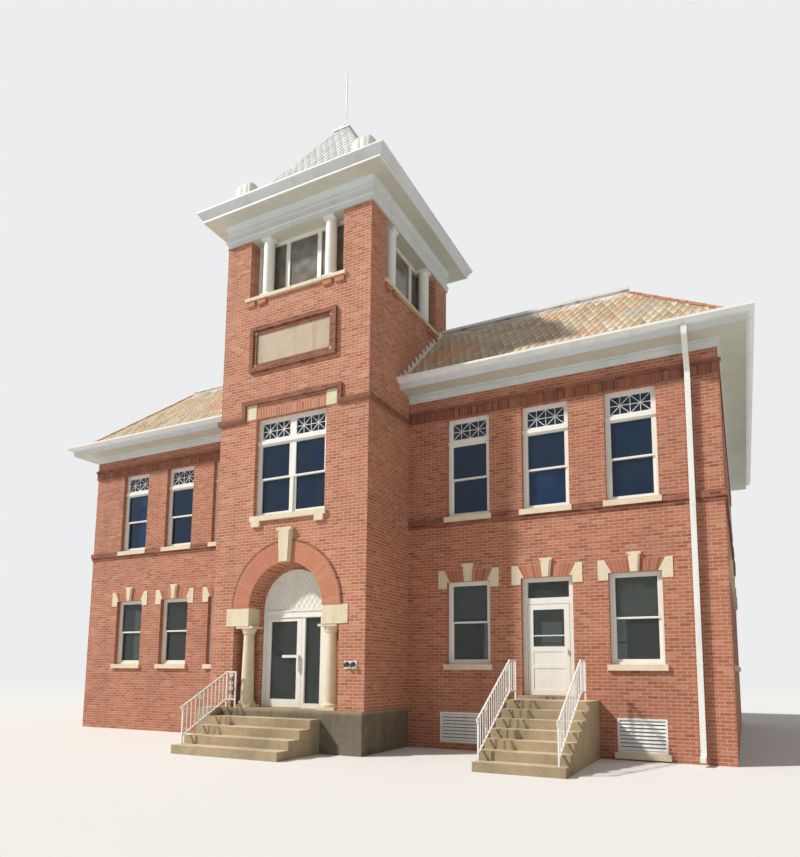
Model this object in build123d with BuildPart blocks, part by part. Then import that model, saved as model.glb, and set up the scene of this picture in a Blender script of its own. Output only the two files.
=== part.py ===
from build123d import *
import os

# A two-storey brick town hall with a square entrance tower, in millimetres.
# X runs along the front, +Y into the building and +Z up. The origin is on the
# floor, on the tower's centre line, in the plane of the wings' front walls.

# Driving dimensions: plan
TOWER_W = 4160
TOWER_D = 4060
TOWER_PROJECTION = 1915
WING_W = 6820
BUILDING_D = 11750
WALL_T = 330
ENTRANCE_WALL_T = 500

# Driving dimensions: storeys
BASE_TOP = 880
GROUND_FLOOR_Z = 1150
LOWER_SILL_Z = 1860
LOWER_HEAD_Z = 3715
UPPER_FLOOR_Z = 4450
UPPER_SILL_Z = 5220
UPPER_HEAD_Z = 7575
ATTIC_FLOOR_Z = 8200
SOFFIT_Z = 8280
BELFRY_FLOOR_Z = 10500
BELFRY_SILL_Z = 10660
TOWER_TOP_Z = 12190
FLOOR_T = 300
ATTIC_FLOOR_T = 250
BELFRY_FLOOR_T = 200
BASE_LIP = 30
BASE_FRONT = 135

# Window openings and their joinery
OPENING_W = 1040
WINDOW_PITCH = 1800
FIRST_WINDOW_X = 3590
SIDE_WINDOW_PITCH = 2650
REAR_WINDOW_PITCH = 2400
SASH_SET = 120
SASH_DEPTH = 110
JAMB_W = 110
GLASS_T = 8
PANE_SET = 30
LOWER_SASH_STEP = 35
HEAD_RAIL = 90
MEETING_RAIL = 40
BOTTOM_RAIL = 110
UPPER_TOP_RAIL = 110
TRANSOM_GLASS_H = 380
TRANSOM_BAR = 170
TRANSOM_NOSING_H = 80
TRANSOM_NOSING_PROUD = 35
TOWER_WINDOW_W = 1980
TOWER_MULLION = 180

# Stone and projecting brick
SILL_H = 120
SILL_EAR = 55
SILL_PROJECTION = 65
CORBEL_W = 230
CORBEL_H = 130
LINTEL_STONE_PROUD = 15
KEYSTONE_PROUD = 65
LINTEL_STONE_DROP = 150
LINTEL_STONE_RISE = 267
LINTEL_STONE_W = 207
LINTEL_STONE_TOP_W = 140
LINTEL_STONE_TIP = 67
KEYSTONE_H = 400
KEYSTONE_FOOT_W = 168
KEYSTONE_TOP_W = 236
KEYSTONE_CROWN_W = 270
KEYSTONE_CROWN_H = 50
FLUTE_W = 34
FLUTE_D = 20
SILL_BAND_H = 140
SILL_BAND_STEP_H = 70
BAND_PROUD = 50
BAND_STEP_PROUD = 25
SOLDIER_H = 215
COURSE_H = 70

# Eaves, gutters and main roof
EAVE_OVERHANG = 497
FASCIA_T = 25
FASCIA_TOP = 8430
ROOF_T = 120
ROOF_RUN = 2400
ROOF_RISE = 2345
DECK_T = 100
CURB_H = 165
CURB_W = 160
FRIEZE_T = 30
FRONT_FRIEZE_Z = 8100
SIDE_FRIEZE_Z = 7790
BED_MOULD = 45
GUTTER_W = 150
GUTTER_FOOT_W = 65
GUTTER_H = 120
GUTTER_FACE_H = 50
GUTTER_SHEET = 6
GUTTER_DROP = 10

# Downspout
DOWNSPOUT_X = 8330
DOWNSPOUT_W = 105
DOWNSPOUT_D = 75
DOWNSPOUT_BEND_Z = 7700
DOWNSPOUT_FOOT_Z = 180
DOWNSPOUT_KICK = 330
DOWNSPOUT_KICK_DROP = 60
DOWNSPOUT_BEND_R = 60
OUTLET_DROP = 200
STRAP_H = 40
STRAP_T = 4

# Entrance
ARCH_R = 1000
ARCH_RING_W = 500
ARCH_RING_PROUD = 25
SPRING_Z = 3110
INNER_ARCH_R = 900
REVEAL_D = 380
RECESS_HALF_W = 1430
IMPOST_H = 410
IMPOST_END_X = 1650
IMPOST_PROUD = 15
COLUMN_X = 1130
COLUMN_SET = 185
COLUMN_BASE_R = 152
COLUMN_NECK_R = 118
COLUMN_FOOT_RING = 40
COLUMN_FOOT_H = 50
COLUMN_FOOT_TOP = 85
COLUMN_NECK_RING = 25
COLUMN_NECK_LOW = 125
COLUMN_NECK_MID = 115
COLUMN_NECK_TOP = 90
COLUMN_CAP_EDGE = 5
COLUMN_PLINTH = 430
COLUMN_PLINTH_H = 60
COLUMN_ABACUS = 480
COLUMN_DEPTH = 370
COLUMN_ABACUS_H = 50
ARCH_KEY_TOP_Z = 4880
ARCH_KEY_W = 370
ARCH_KEY_FOOT_W = 300
ARCH_KEY_PROUD = 120
ARCH_KEY_FLUTE_W = 42
ARCH_KEY_FLUTE_D = 40
ARCH_KEY_EAR = 18
ARCH_KEY_CROWN_H = 60
DOOR_FRAME_SET = 390
DOOR_FRAME_D = 100
DOOR_POST = 85
DOOR_GAP = 8
TRANSOM_Z = 2885
TRANSOM_H = 175
MAIN_DOOR_LEFT = -780
MAIN_DOOR_W = 970
MAIN_DOOR_T = 45
MAIN_STILE = 125
MAIN_TOP_RAIL = 65
MAIN_BOTTOM_RAIL = 180
PULL_STANDOFF = 60
PULL_T = 30
PULL_EDGE = 35
PULL_W = 50
PULL_REACH = 480
PULL_BAR_Z = 1990
PULL_TOP_Z = 2050
PULL_FOOT_Z = 1700
PULL_FOOT_H = 40
SIDELIGHT_RIGHT = 700
SIDELIGHT_SILL = 105
FANLIGHT_RIM = 95

# Side door
SIDE_DOOR_X = 5380
SIDE_OPENING_W = 1120
THRESHOLD_Z = 1210
SIDE_DOOR_W = 900
SIDE_DOOR_TOP = 3140
SIDE_DOOR_T = 40
SIDE_STILE = 115
SIDE_GLASS_SILL = 2240
SIDE_PANEL_TOP = 2130
SIDE_PANEL_SILL = 1850
SIDE_PANEL_RAIL = 70
SIDE_PANEL_DEPTH = 12
LATCH_W = 30
LATCH_EDGE = 40
LATCH_PROUD = 45
LATCH_Z = 2090
LATCH_H = 90
SIDE_TRANSOM_SILL = 3280
SIDE_TRANSOM_RIM = 90

# Hinges
KNUCKLE_R = 9
KNUCKLE_H = 40
KNUCKLE_GAP = 0.3
HINGE_PLATE_W = 32
HINGE_PLATE_T = 3
MAIN_HINGE_INSET = 250
SIDE_HINGE_INSET = 220

# Steps and railings
MAIN_STEP_RUN = 345
MAIN_STEP_COUNT = 5
MAIN_STEP_LEFT = -1610
MAIN_STEP_RIGHT = 1100
CHEEK_W = 380
CHEEK_D = 330
SIDE_STEP_COUNT = 7
SIDE_STEP_RUN = 310
LANDING_D = 950
LANDING_Z = 1150
SIDE_STEP_LEFT = 4790
SIDE_STEP_RIGHT = 6420
DOOR_STEP_D = 150
DOOR_STEP_EAR = 60
RAIL_H = 800
SIDE_RAIL_SLOPE = 0.6
LOW_RAIL_LIFT = 160
SIDE_RAIL_RETURN = 370
MAIN_RAIL_RETURN = 250
RAIL_T = 30
BALUSTER_T = 14
BALUSTER_PITCH = 115
RAIL_INSET = 60
MAIN_RAIL_X = -1500
SIDE_RAIL_XS = (4850, 6270)

# Basement vents and wall lamp
VENT_W = 940
VENT_H = 660
VENT_SILL_Z = 150
VENT_NEAR_X = 3380
VENT_FAR_X = 7235
VENT_RIM = 40
VENT_D = 90
LOUVRE_COUNT = 8
LOUVRE_SET = 10
LOUVRE_D = 60
LOUVRE_FOOT = 0.2
LOUVRE_SHARE = 0.55
LAMP_X = 1750
LAMP_Z = 1830
LAMP_W = 300
LAMP_H = 165
LAMP_D = 120

# Tower trim, belfry and roof
PLAQUE_HALF_W = 1225
PLAQUE_Z = 8740
PLAQUE_H = 1120
PLAQUE_FRAME_W = 100
PLAQUE_PROUD = 75
PLAQUE_BED_W = 85
PLAQUE_BED_PROUD = 40
PANEL_PROUD = 12
LABEL_TOP_Z = 8030
LABEL_HALF_W = 1400
LABEL_ARM_Z = 7560
LABEL_H = 105
LABEL_PROUD = 60
HEAD_STONE_W = 290
HEAD_STONE_H = 350
HEAD_STONE_PROUD = 15
BELFRY_HALF_W = 1345
BELFRY_SILL_H = 80
BELFRY_SILL_EAR = 85
CORBEL_BRICK_W = 240
CORBEL_BRICK_H = 140
CORBEL_BRICK_PROUD = 45
CORBEL_BRICK_GAP = 90
BELFRY_COLUMN_X = 905
BELFRY_COLUMN_R = 135
BELFRY_CAP_W = 290
BELFRY_CAP_H = 70
BELFRY_COLUMN_SET = 148
BELFRY_SASH_SET = 310
BELFRY_SASH_D = 60
BELFRY_MULLION_X = 460
BELFRY_MULLION_W = 110
BELFRY_RAIL = 90
ARCHITRAVE_H = 155
ARCHITRAVE_PROUD = 35
TOWER_FRIEZE_H = 265
TOWER_FRIEZE_PROUD = 15
TOWER_BED_H = 140
TOWER_BED_PROUD = 75
CORNICE_OVERHANG = 430
CROWN_OVERHANG = 575
CROWN_H = 250
CEILING_T = 60
SPIRE_HALF_W = 2117
SPIRE_H = 3525
SPIRE_SKIN = 140
DOME_HALF_W = 390
DOME_OFFSET = 1710
DOME_SPRING_Z = 13620
DOME_TOP_Z = 14200
DOME_SHOULDER = 0.72
CAP_HALF_W = 250
CAP_H = 45
CAP_SINK = 0.8
FINIAL_R = 16
FINIAL_TOP_Z = 18110

# Stepped flashing against the tower
FLASHING_H = 170
FLASHING_T = 6
FLASHING_TEETH = 12
TOOTH_H = 90

# Places worked out from the driving dimensions
TOWER_X = TOWER_W / 2
HALF_W = TOWER_X + WING_W
TOWER_FRONT = -TOWER_PROJECTION
TOWER_BACK = TOWER_FRONT + TOWER_D
TOWER_MID_Y = (TOWER_FRONT + TOWER_BACK) / 2
CENTRE_Y = BUILDING_D / 2
INNER_X = HALF_W - WALL_T
INNER_BACK = BUILDING_D - WALL_T
TOWER_INNER_X = TOWER_X - WALL_T
TOWER_INNER_FRONT = TOWER_FRONT + WALL_T
TOWER_INNER_BACK = TOWER_BACK - WALL_T
BASE_FACE = TOWER_FRONT - BASE_FRONT
ROOF_SLOPE = ROOF_RISE / ROOF_RUN
DECK_INSET = ROOF_RUN - EAVE_OVERHANG
DECK_Z = FASCIA_TOP + ROOF_RISE
DECK_X = HALF_W - DECK_INSET
DOOR_FRAME_FACE = TOWER_FRONT + DOOR_FRAME_SET
DOOR_FRAME_R = INNER_ARCH_R - 15
IMPOST_Z = SPRING_Z - IMPOST_H
CORNICE_Z = TOWER_TOP_Z + ARCHITRAVE_H + TOWER_FRIEZE_H + TOWER_BED_H
CROWN_Z = CORNICE_Z + CROWN_H
KNUCKLE_SIDES = 12
BELFRY_SASH_BACK = BELFRY_SASH_SET + BELFRY_SASH_D
SPIRE_TOP_Z = CROWN_Z + SPIRE_H
SLICE = 1

# Where the openings are: each place has its own X along the wall and +Y inwards
wing_columns = [FIRST_WINDOW_X + n * WINDOW_PITCH for n in range(3)]
front_upper = [Location((side * x, 0, 0)) for side in (-1, 1) for x in wing_columns]
front_lower = [Location((-x, 0, 0)) for x in wing_columns]
front_lower += [Location((x, 0, 0)) for x in wing_columns[::2]]
left_places = []
right_places = []
for step in (-1.5, -0.5, 0.5, 1.5):
    along = CENTRE_Y + step * SIDE_WINDOW_PITCH
    left_places.append(Location((-HALF_W, along, 0), (0, 0, -90)))
    right_places.append(Location((HALF_W, along, 0), (0, 0, 90)))
rear_places = [Location((n * REAR_WINDOW_PITCH, BUILDING_D, 0), (0, 0, 180)) for n in range(-3, 4)]
other_places = left_places + right_places + rear_places
tower_face_places = [
    Location((0, TOWER_FRONT, 0)),
    Location((TOWER_X, TOWER_MID_Y, 0), (0, 0, 90)),
    Location((0, TOWER_BACK, 0), (0, 0, 180)),
    Location((-TOWER_X, TOWER_MID_Y, 0), (0, 0, -90)),
]


def block(x0, x1, y0, y1, z0, z1, mode=Mode.ADD):
    """A squared block between two opposite corners."""
    with Locations(((x0 + x1) / 2, (y0 + y1) / 2, (z0 + z1) / 2)):
        Box(x1 - x0, y1 - y0, z1 - z0, mode=mode)


def plate(plane, points, depth, mode=Mode.ADD):
    """A flat plate: the outline drawn on a plane and extruded along its normal."""
    with BuildSketch(plane) as outline:
        with BuildLine():
            Polyline(*points, close=True)
        make_face()
    extrude(outline.sketch, amount=depth, mode=mode)


def cut_openings(places, width, sill_z, head_z):
    """Cut window openings right through a wall, with room for the sill below."""
    with Locations(*places):
        block(-width / 2, width / 2, -SLICE, WALL_T + SLICE, sill_z - SILL_H, head_z, Mode.SUBTRACT)


def band_ring(outer, inner, z0, z1):
    """A level ring round the building, interrupted by the tower."""
    with BuildSketch(Plane.XY.offset(z0)) as plan:
        with Locations((0, CENTRE_Y)):
            Rectangle(2 * (HALF_W + outer), BUILDING_D + 2 * outer)
            Rectangle(2 * (HALF_W + inner), BUILDING_D + 2 * inner, mode=Mode.SUBTRACT)
        with Locations((0, (TOWER_BACK - TOWER_D) / 2)):
            Rectangle(TOWER_W, TOWER_BACK + TOWER_D, mode=Mode.SUBTRACT)
    extrude(plan.sketch, amount=z1 - z0)


def tower_ring(outer, inner, z0, z1, top_outer=None):
    """A level ring round the tower, flared outwards where a top width is given."""
    widths = (TOWER_W + 2 * outer, TOWER_D + 2 * outer)
    with BuildSketch(Plane.XY.offset(z0)) as foot:
        with Locations((0, TOWER_MID_Y)):
            Rectangle(*widths)
    if top_outer is None:
        extrude(foot.sketch, amount=z1 - z0)
    else:
        with BuildSketch(Plane.XY.offset(z1)) as top:
            with Locations((0, TOWER_MID_Y)):
                Rectangle(TOWER_W + 2 * top_outer, TOWER_D + 2 * top_outer)
        loft([foot.sketch.face(), top.sketch.face()])
    with Locations((0, TOWER_MID_Y, (z0 + z1) / 2)):
        Box(TOWER_W + 2 * inner, TOWER_D + 2 * inner, z1 - z0, mode=Mode.SUBTRACT)


def finish(builder, name):
    """Name a finished piece and write its file."""
    builder.part.label = name
    export_step(builder.part, f"parts/{name}.step")


os.makedirs("parts", exist_ok=True)

# Wing walls

with BuildPart() as left_front_wall:
    block(-HALF_W, -TOWER_X, 0, WALL_T, 0, SOFFIT_Z)
    cut_openings(front_upper[:3], OPENING_W, UPPER_SILL_Z, UPPER_HEAD_Z)
    cut_openings(front_lower[:3], OPENING_W, LOWER_SILL_Z, LOWER_HEAD_Z)
finish(left_front_wall, "left_front_wall")

door_left = SIDE_DOOR_X - SIDE_OPENING_W / 2
door_right = SIDE_DOOR_X + SIDE_OPENING_W / 2
vent_places = [Location((VENT_NEAR_X, 0, 0)), Location((VENT_FAR_X, 0, 0))]

with BuildPart() as right_front_inner_wall:
    block(TOWER_X, door_left, 0, WALL_T, 0, SOFFIT_Z)
    cut_openings(front_upper[3:4], OPENING_W, UPPER_SILL_Z, UPPER_HEAD_Z)
    cut_openings(front_lower[3:4], OPENING_W, LOWER_SILL_Z, LOWER_HEAD_Z)
    with Locations(vent_places[0]):
        block(-VENT_W / 2, VENT_W / 2, -SLICE, WALL_T + SLICE, VENT_SILL_Z, VENT_SILL_Z + VENT_H, Mode.SUBTRACT)
finish(right_front_inner_wall, "right_front_inner_wall")

with BuildPart() as right_front_outer_wall:
    block(door_right, HALF_W, 0, WALL_T, 0, SOFFIT_Z)
    cut_openings(front_upper[5:6], OPENING_W, UPPER_SILL_Z, UPPER_HEAD_Z)
    cut_openings(front_lower[4:5], OPENING_W, LOWER_SILL_Z, LOWER_HEAD_Z)
    with Locations(vent_places[1]):
        block(-VENT_W / 2, VENT_W / 2, -SLICE, WALL_T + SLICE, VENT_SILL_Z, VENT_SILL_Z + VENT_H, Mode.SUBTRACT)
finish(right_front_outer_wall, "right_front_outer_wall")

with BuildPart() as side_door_wall:
    block(door_left, door_right, 0, WALL_T, 0, THRESHOLD_Z)
    block(door_left, door_right, 0, WALL_T, LOWER_HEAD_Z, SOFFIT_Z)
    cut_openings(front_upper[4:5], OPENING_W, UPPER_SILL_Z, UPPER_HEAD_Z)
finish(side_door_wall, "side_door_wall")

with BuildPart() as left_side_wall:
    block(-HALF_W, -INNER_X, WALL_T, INNER_BACK, 0, SOFFIT_Z)
    cut_openings(left_places, OPENING_W, LOWER_SILL_Z, LOWER_HEAD_Z)
    cut_openings(left_places, OPENING_W, UPPER_SILL_Z, UPPER_HEAD_Z)
finish(left_side_wall, "left_side_wall")

with BuildPart() as right_side_wall:
    block(INNER_X, HALF_W, WALL_T, INNER_BACK, 0, SOFFIT_Z)
    cut_openings(right_places, OPENING_W, LOWER_SILL_Z, LOWER_HEAD_Z)
    cut_openings(right_places, OPENING_W, UPPER_SILL_Z, UPPER_HEAD_Z)
finish(right_side_wall, "right_side_wall")

with BuildPart() as rear_wall:
    block(-HALF_W, HALF_W, INNER_BACK, BUILDING_D, 0, SOFFIT_Z)
    cut_openings(rear_places, OPENING_W, LOWER_SILL_Z, LOWER_HEAD_Z)
    cut_openings(rear_places, OPENING_W, UPPER_SILL_Z, UPPER_HEAD_Z)
finish(rear_wall, "rear_wall")

# Tower base and walls

with BuildPart() as tower_base:
    block(-TOWER_X - BASE_LIP, TOWER_X + BASE_LIP, BASE_FACE, 0, 0, BASE_TOP)
    block(-TOWER_X, TOWER_X, 0, TOWER_BACK, 0, BASE_TOP)
finish(tower_base, "tower_base")

for side, name in ((-1, "left_entrance_pier"), (1, "right_entrance_pier")):
    with BuildPart() as entrance_pier:
        with BuildSketch(Plane.XY.offset(BASE_TOP)) as pier_plan:
            with BuildLine():
                Polyline(
                    (side * TOWER_X, TOWER_FRONT),
                    (side * RECESS_HALF_W, TOWER_FRONT),
                    (side * RECESS_HALF_W, TOWER_FRONT + REVEAL_D),
                    (side * INNER_ARCH_R, TOWER_FRONT + REVEAL_D),
                    (side * INNER_ARCH_R, TOWER_FRONT + ENTRANCE_WALL_T),
                    (side * TOWER_INNER_X, TOWER_FRONT + ENTRANCE_WALL_T),
                    (side * TOWER_INNER_X, TOWER_INNER_FRONT),
                    (side * TOWER_X, TOWER_INNER_FRONT),
                    close=True,
                )
            make_face()
        extrude(pier_plan.sketch, amount=IMPOST_Z - BASE_TOP)
        outer = sorted((side * TOWER_X, side * IMPOST_END_X))
        block(*outer, TOWER_FRONT, TOWER_INNER_FRONT, IMPOST_Z, SPRING_Z)
        inner = sorted((side * TOWER_INNER_X, side * INNER_ARCH_R))
        block(*inner, TOWER_FRONT + REVEAL_D, TOWER_FRONT + ENTRANCE_WALL_T, IMPOST_Z, SPRING_Z)
        corner = sorted((side * TOWER_INNER_X, side * IMPOST_END_X))
        block(*corner, TOWER_INNER_FRONT, TOWER_FRONT + REVEAL_D, IMPOST_Z, SPRING_Z)
    finish(entrance_pier, name)

with BuildPart() as entrance_arch_wall:
    block(-TOWER_X, TOWER_X, TOWER_FRONT, TOWER_INNER_FRONT, SPRING_Z, UPPER_FLOOR_Z)
    block(-TOWER_INNER_X, TOWER_INNER_X, TOWER_INNER_FRONT, TOWER_FRONT + ENTRANCE_WALL_T, SPRING_Z, UPPER_FLOOR_Z)
    with Locations(Location((0, TOWER_FRONT + REVEAL_D / 2, SPRING_Z), (90, 0, 0))):
        Cylinder(ARCH_R, REVEAL_D, mode=Mode.SUBTRACT)
    with Locations(Location((0, TOWER_FRONT + ENTRANCE_WALL_T / 2, SPRING_Z), (90, 0, 0))):
        Cylinder(INNER_ARCH_R, ENTRANCE_WALL_T, mode=Mode.SUBTRACT)
finish(entrance_arch_wall, "entrance_arch_wall")


def cut_belfry_opening(place):
    """Cut a belfry opening through the wall at a tower face, open at its top."""
    with Locations(place):
        block(-BELFRY_HALF_W, BELFRY_HALF_W, -SLICE, WALL_T + SLICE,
              BELFRY_SILL_Z - BELFRY_SILL_H, TOWER_TOP_Z + SLICE, Mode.SUBTRACT)


with BuildPart() as tower_front_wall:
    block(-TOWER_X, TOWER_X, TOWER_FRONT, TOWER_INNER_FRONT, UPPER_FLOOR_Z, TOWER_TOP_Z)
    cut_openings(tower_face_places[:1], TOWER_WINDOW_W, UPPER_SILL_Z, UPPER_HEAD_Z)
    cut_belfry_opening(tower_face_places[0])
finish(tower_front_wall, "tower_front_wall")

with BuildPart() as tower_right_wall:
    block(TOWER_INNER_X, TOWER_X, TOWER_INNER_FRONT, TOWER_INNER_BACK, BASE_TOP, TOWER_TOP_Z)
    cut_belfry_opening(tower_face_places[1])
finish(tower_right_wall, "tower_right_wall")

with BuildPart() as tower_left_wall:
    block(-TOWER_X, -TOWER_INNER_X, TOWER_INNER_FRONT, TOWER_INNER_BACK, BASE_TOP, TOWER_TOP_Z)
    cut_belfry_opening(tower_face_places[3])
finish(tower_left_wall, "tower_left_wall")

PASSAGE_HALF_W = 700
PASSAGE_H = 2250
with BuildPart() as tower_rear_wall:
    block(-TOWER_X, TOWER_X, TOWER_INNER_BACK, TOWER_BACK, BASE_TOP, TOWER_TOP_Z)
    for passage_z in (GROUND_FLOOR_Z, UPPER_FLOOR_Z):
        block(-PASSAGE_HALF_W, PASSAGE_HALF_W, TOWER_INNER_BACK - SLICE, TOWER_BACK + SLICE,
              passage_z, passage_z + PASSAGE_H, Mode.SUBTRACT)
    cut_belfry_opening(tower_face_places[2])
finish(tower_rear_wall, "tower_rear_wall")


# Floors

def floor_plate(top_z, thick):
    """A floor that fills the wings and the rear hall and goes round the tower."""
    block(-INNER_X, INNER_X, WALL_T, INNER_BACK, top_z - thick, top_z)
    block(-TOWER_X, TOWER_X, 0, TOWER_BACK, top_z - thick, top_z, Mode.SUBTRACT)


with BuildPart() as ground_floor:
    floor_plate(GROUND_FLOOR_Z, FLOOR_T)
finish(ground_floor, "ground_floor")

with BuildPart() as upper_floor:
    floor_plate(UPPER_FLOOR_Z, FLOOR_T)
    block(-TOWER_INNER_X, TOWER_INNER_X, TOWER_FRONT + ENTRANCE_WALL_T, TOWER_INNER_BACK,
          UPPER_FLOOR_Z - FLOOR_T, UPPER_FLOOR_Z)
finish(upper_floor, "upper_floor")

with BuildPart() as attic_floor:
    floor_plate(ATTIC_FLOOR_Z, ATTIC_FLOOR_T)
    block(-TOWER_INNER_X, TOWER_INNER_X, TOWER_INNER_FRONT, TOWER_INNER_BACK,
          ATTIC_FLOOR_Z - ATTIC_FLOOR_T, ATTIC_FLOOR_Z)
finish(attic_floor, "attic_floor")

with BuildPart() as belfry_floor:
    block(-TOWER_INNER_X, TOWER_INNER_X, TOWER_INNER_FRONT, TOWER_INNER_BACK,
          BELFRY_FLOOR_Z - BELFRY_FLOOR_T, BELFRY_FLOOR_Z)
finish(belfry_floor, "belfry_floor")

# Main roof: four slopes with level eaves and a flat deck on top

front_slope_plane = Plane((0, -EAVE_OVERHANG, FASCIA_TOP), x_dir=(1, 0, 0), z_dir=(0, -ROOF_SLOPE, 1))
rear_slope_plane = Plane((0, BUILDING_D + EAVE_OVERHANG, FASCIA_TOP), x_dir=(1, 0, 0), z_dir=(0, ROOF_SLOPE, 1))
left_slope_plane = Plane((-HALF_W - EAVE_OVERHANG, 0, FASCIA_TOP), x_dir=(0, 1, 0), z_dir=(-ROOF_SLOPE, 0, 1))
right_slope_plane = Plane((HALF_W + EAVE_OVERHANG, 0, FASCIA_TOP), x_dir=(0, 1, 0), z_dir=(ROOF_SLOPE, 0, 1))


def slope_slab(plan_points, plane):
    """One roof slope: its plan raised as a prism and trimmed above and below."""
    with BuildSketch(Plane.XY.offset(FASCIA_TOP - 2 * ROOF_T)) as plan:
        with BuildLine():
            Polyline(*plan_points, close=True)
        make_face()
    with BuildPart() as slab:
        extrude(plan.sketch, amount=ROOF_RISE + 4 * ROOF_T)
        split(bisect_by=plane, keep=Keep.BOTTOM)
        split(bisect_by=Plane(plane.origin - Vector(0, 0, ROOF_T), x_dir=plane.x_dir, z_dir=plane.z_dir), keep=Keep.TOP)
    return slab.part


eave_x = HALF_W + EAVE_OVERHANG
eave_front = -EAVE_OVERHANG
eave_back = BUILDING_D + EAVE_OVERHANG
deck_front = DECK_INSET
deck_back = BUILDING_D - DECK_INSET

with BuildPart() as roof_front_slopes:
    for side in (-1, 1):
        add(slope_slab(
            [(side * eave_x, eave_front), (side * DECK_X, deck_front), (side * TOWER_X, deck_front),
             (side * TOWER_X, eave_front)], front_slope_plane))
finish(roof_front_slopes, "roof_front_slopes")

with BuildPart() as roof_rear_slope:
    add(slope_slab([(-eave_x, eave_back), (-DECK_X, deck_back), (DECK_X, deck_back), (eave_x, eave_back)],
                   rear_slope_plane))
finish(roof_rear_slope, "roof_rear_slope")

with BuildPart() as roof_side_slopes:
    for side, plane in ((-1, left_slope_plane), (1, right_slope_plane)):
        add(slope_slab(
            [(side * eave_x, eave_front), (side * DECK_X, deck_front), (side * DECK_X, deck_back),
             (side * eave_x, eave_back)], plane))
finish(roof_side_slopes, "roof_side_slopes")

with BuildPart() as roof_deck:
    block(-DECK_X, DECK_X, deck_front, deck_back, DECK_Z - DECK_T, DECK_Z)
    block(-DECK_X, DECK_X, deck_front, deck_back, DECK_Z, DECK_Z + CURB_H)
    block(-DECK_X + CURB_W, DECK_X - CURB_W, deck_front + CURB_W, deck_back - CURB_W,
          DECK_Z, DECK_Z + CURB_H, Mode.SUBTRACT)
    block(-TOWER_X, TOWER_X, TOWER_FRONT, TOWER_BACK, DECK_Z - DECK_T, DECK_Z + CURB_H, Mode.SUBTRACT)
finish(roof_deck, "roof_deck")

# Boxed eaves: soffit, fascia and frieze boards round the wings

with BuildPart() as main_cornice:
    band_ring(EAVE_OVERHANG, -WALL_T, SOFFIT_Z, FASCIA_TOP + ROOF_SLOPE * (EAVE_OVERHANG + WALL_T))
    for plane in (front_slope_plane, rear_slope_plane, left_slope_plane, right_slope_plane):
        under = Plane(plane.origin - Vector(0, 0, ROOF_T), x_dir=plane.x_dir, z_dir=plane.z_dir)
        split(bisect_by=under, keep=Keep.BOTTOM)
    band_ring(EAVE_OVERHANG + FASCIA_T, EAVE_OVERHANG, SOFFIT_Z, FASCIA_TOP)
    band_ring(FRIEZE_T, 0, FRONT_FRIEZE_Z, SOFFIT_Z)
    with BuildSketch(Plane.XY.offset(SIDE_FRIEZE_Z)) as side_frieze:
        with Locations((0, CENTRE_Y)):
            Rectangle(2 * (HALF_W + FRIEZE_T), BUILDING_D + 2 * FRIEZE_T)
            Rectangle(2 * HALF_W, BUILDING_D, mode=Mode.SUBTRACT)
        with Locations((0, -FRIEZE_T)):
            Rectangle(3 * HALF_W, 2 * FRIEZE_T, mode=Mode.SUBTRACT)
    extrude(side_frieze.sketch, amount=FRONT_FRIEZE_Z - SIDE_FRIEZE_Z)
    band_ring(FRIEZE_T + BED_MOULD, FRIEZE_T, SOFFIT_Z - BED_MOULD, SOFFIT_Z)
finish(main_cornice, "main_cornice")

# Gutters hung on the fascia, and the downspout at the right corner

gutter_foot = EAVE_OVERHANG + FASCIA_T
gutter_z = FASCIA_TOP - GUTTER_DROP
with BuildPart() as gutters:
    gutter_x = HALF_W + gutter_foot
    gutter_back = BUILDING_D + gutter_foot
    with BuildLine() as eaves:
        Polyline((TOWER_X, -gutter_foot, gutter_z), (gutter_x, -gutter_foot, gutter_z),
                 (gutter_x, gutter_back, gutter_z), (-gutter_x, gutter_back, gutter_z),
                 (-gutter_x, -gutter_foot, gutter_z), (-TOWER_X, -gutter_foot, gutter_z))
    face_foot = GUTTER_H - GUTTER_FACE_H
    with BuildSketch(Plane((TOWER_X, -gutter_foot, gutter_z), x_dir=(0, 1, 0), z_dir=(1, 0, 0))):
        with BuildLine():
            Polyline((0, 0), (-GUTTER_FOOT_W, 0), (-GUTTER_W, face_foot), (-GUTTER_W, GUTTER_H),
                     (-GUTTER_W + GUTTER_SHEET, GUTTER_H), (-GUTTER_W + GUTTER_SHEET, face_foot + GUTTER_SHEET / 2),
                     (-GUTTER_FOOT_W, GUTTER_SHEET), (-GUTTER_SHEET, GUTTER_SHEET), (-GUTTER_SHEET, GUTTER_H),
                     (0, GUTTER_H), close=True)
        make_face()
    sweep(path=eaves.wires()[0], transition=Transition.RIGHT)
finish(gutters, "gutters")

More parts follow.
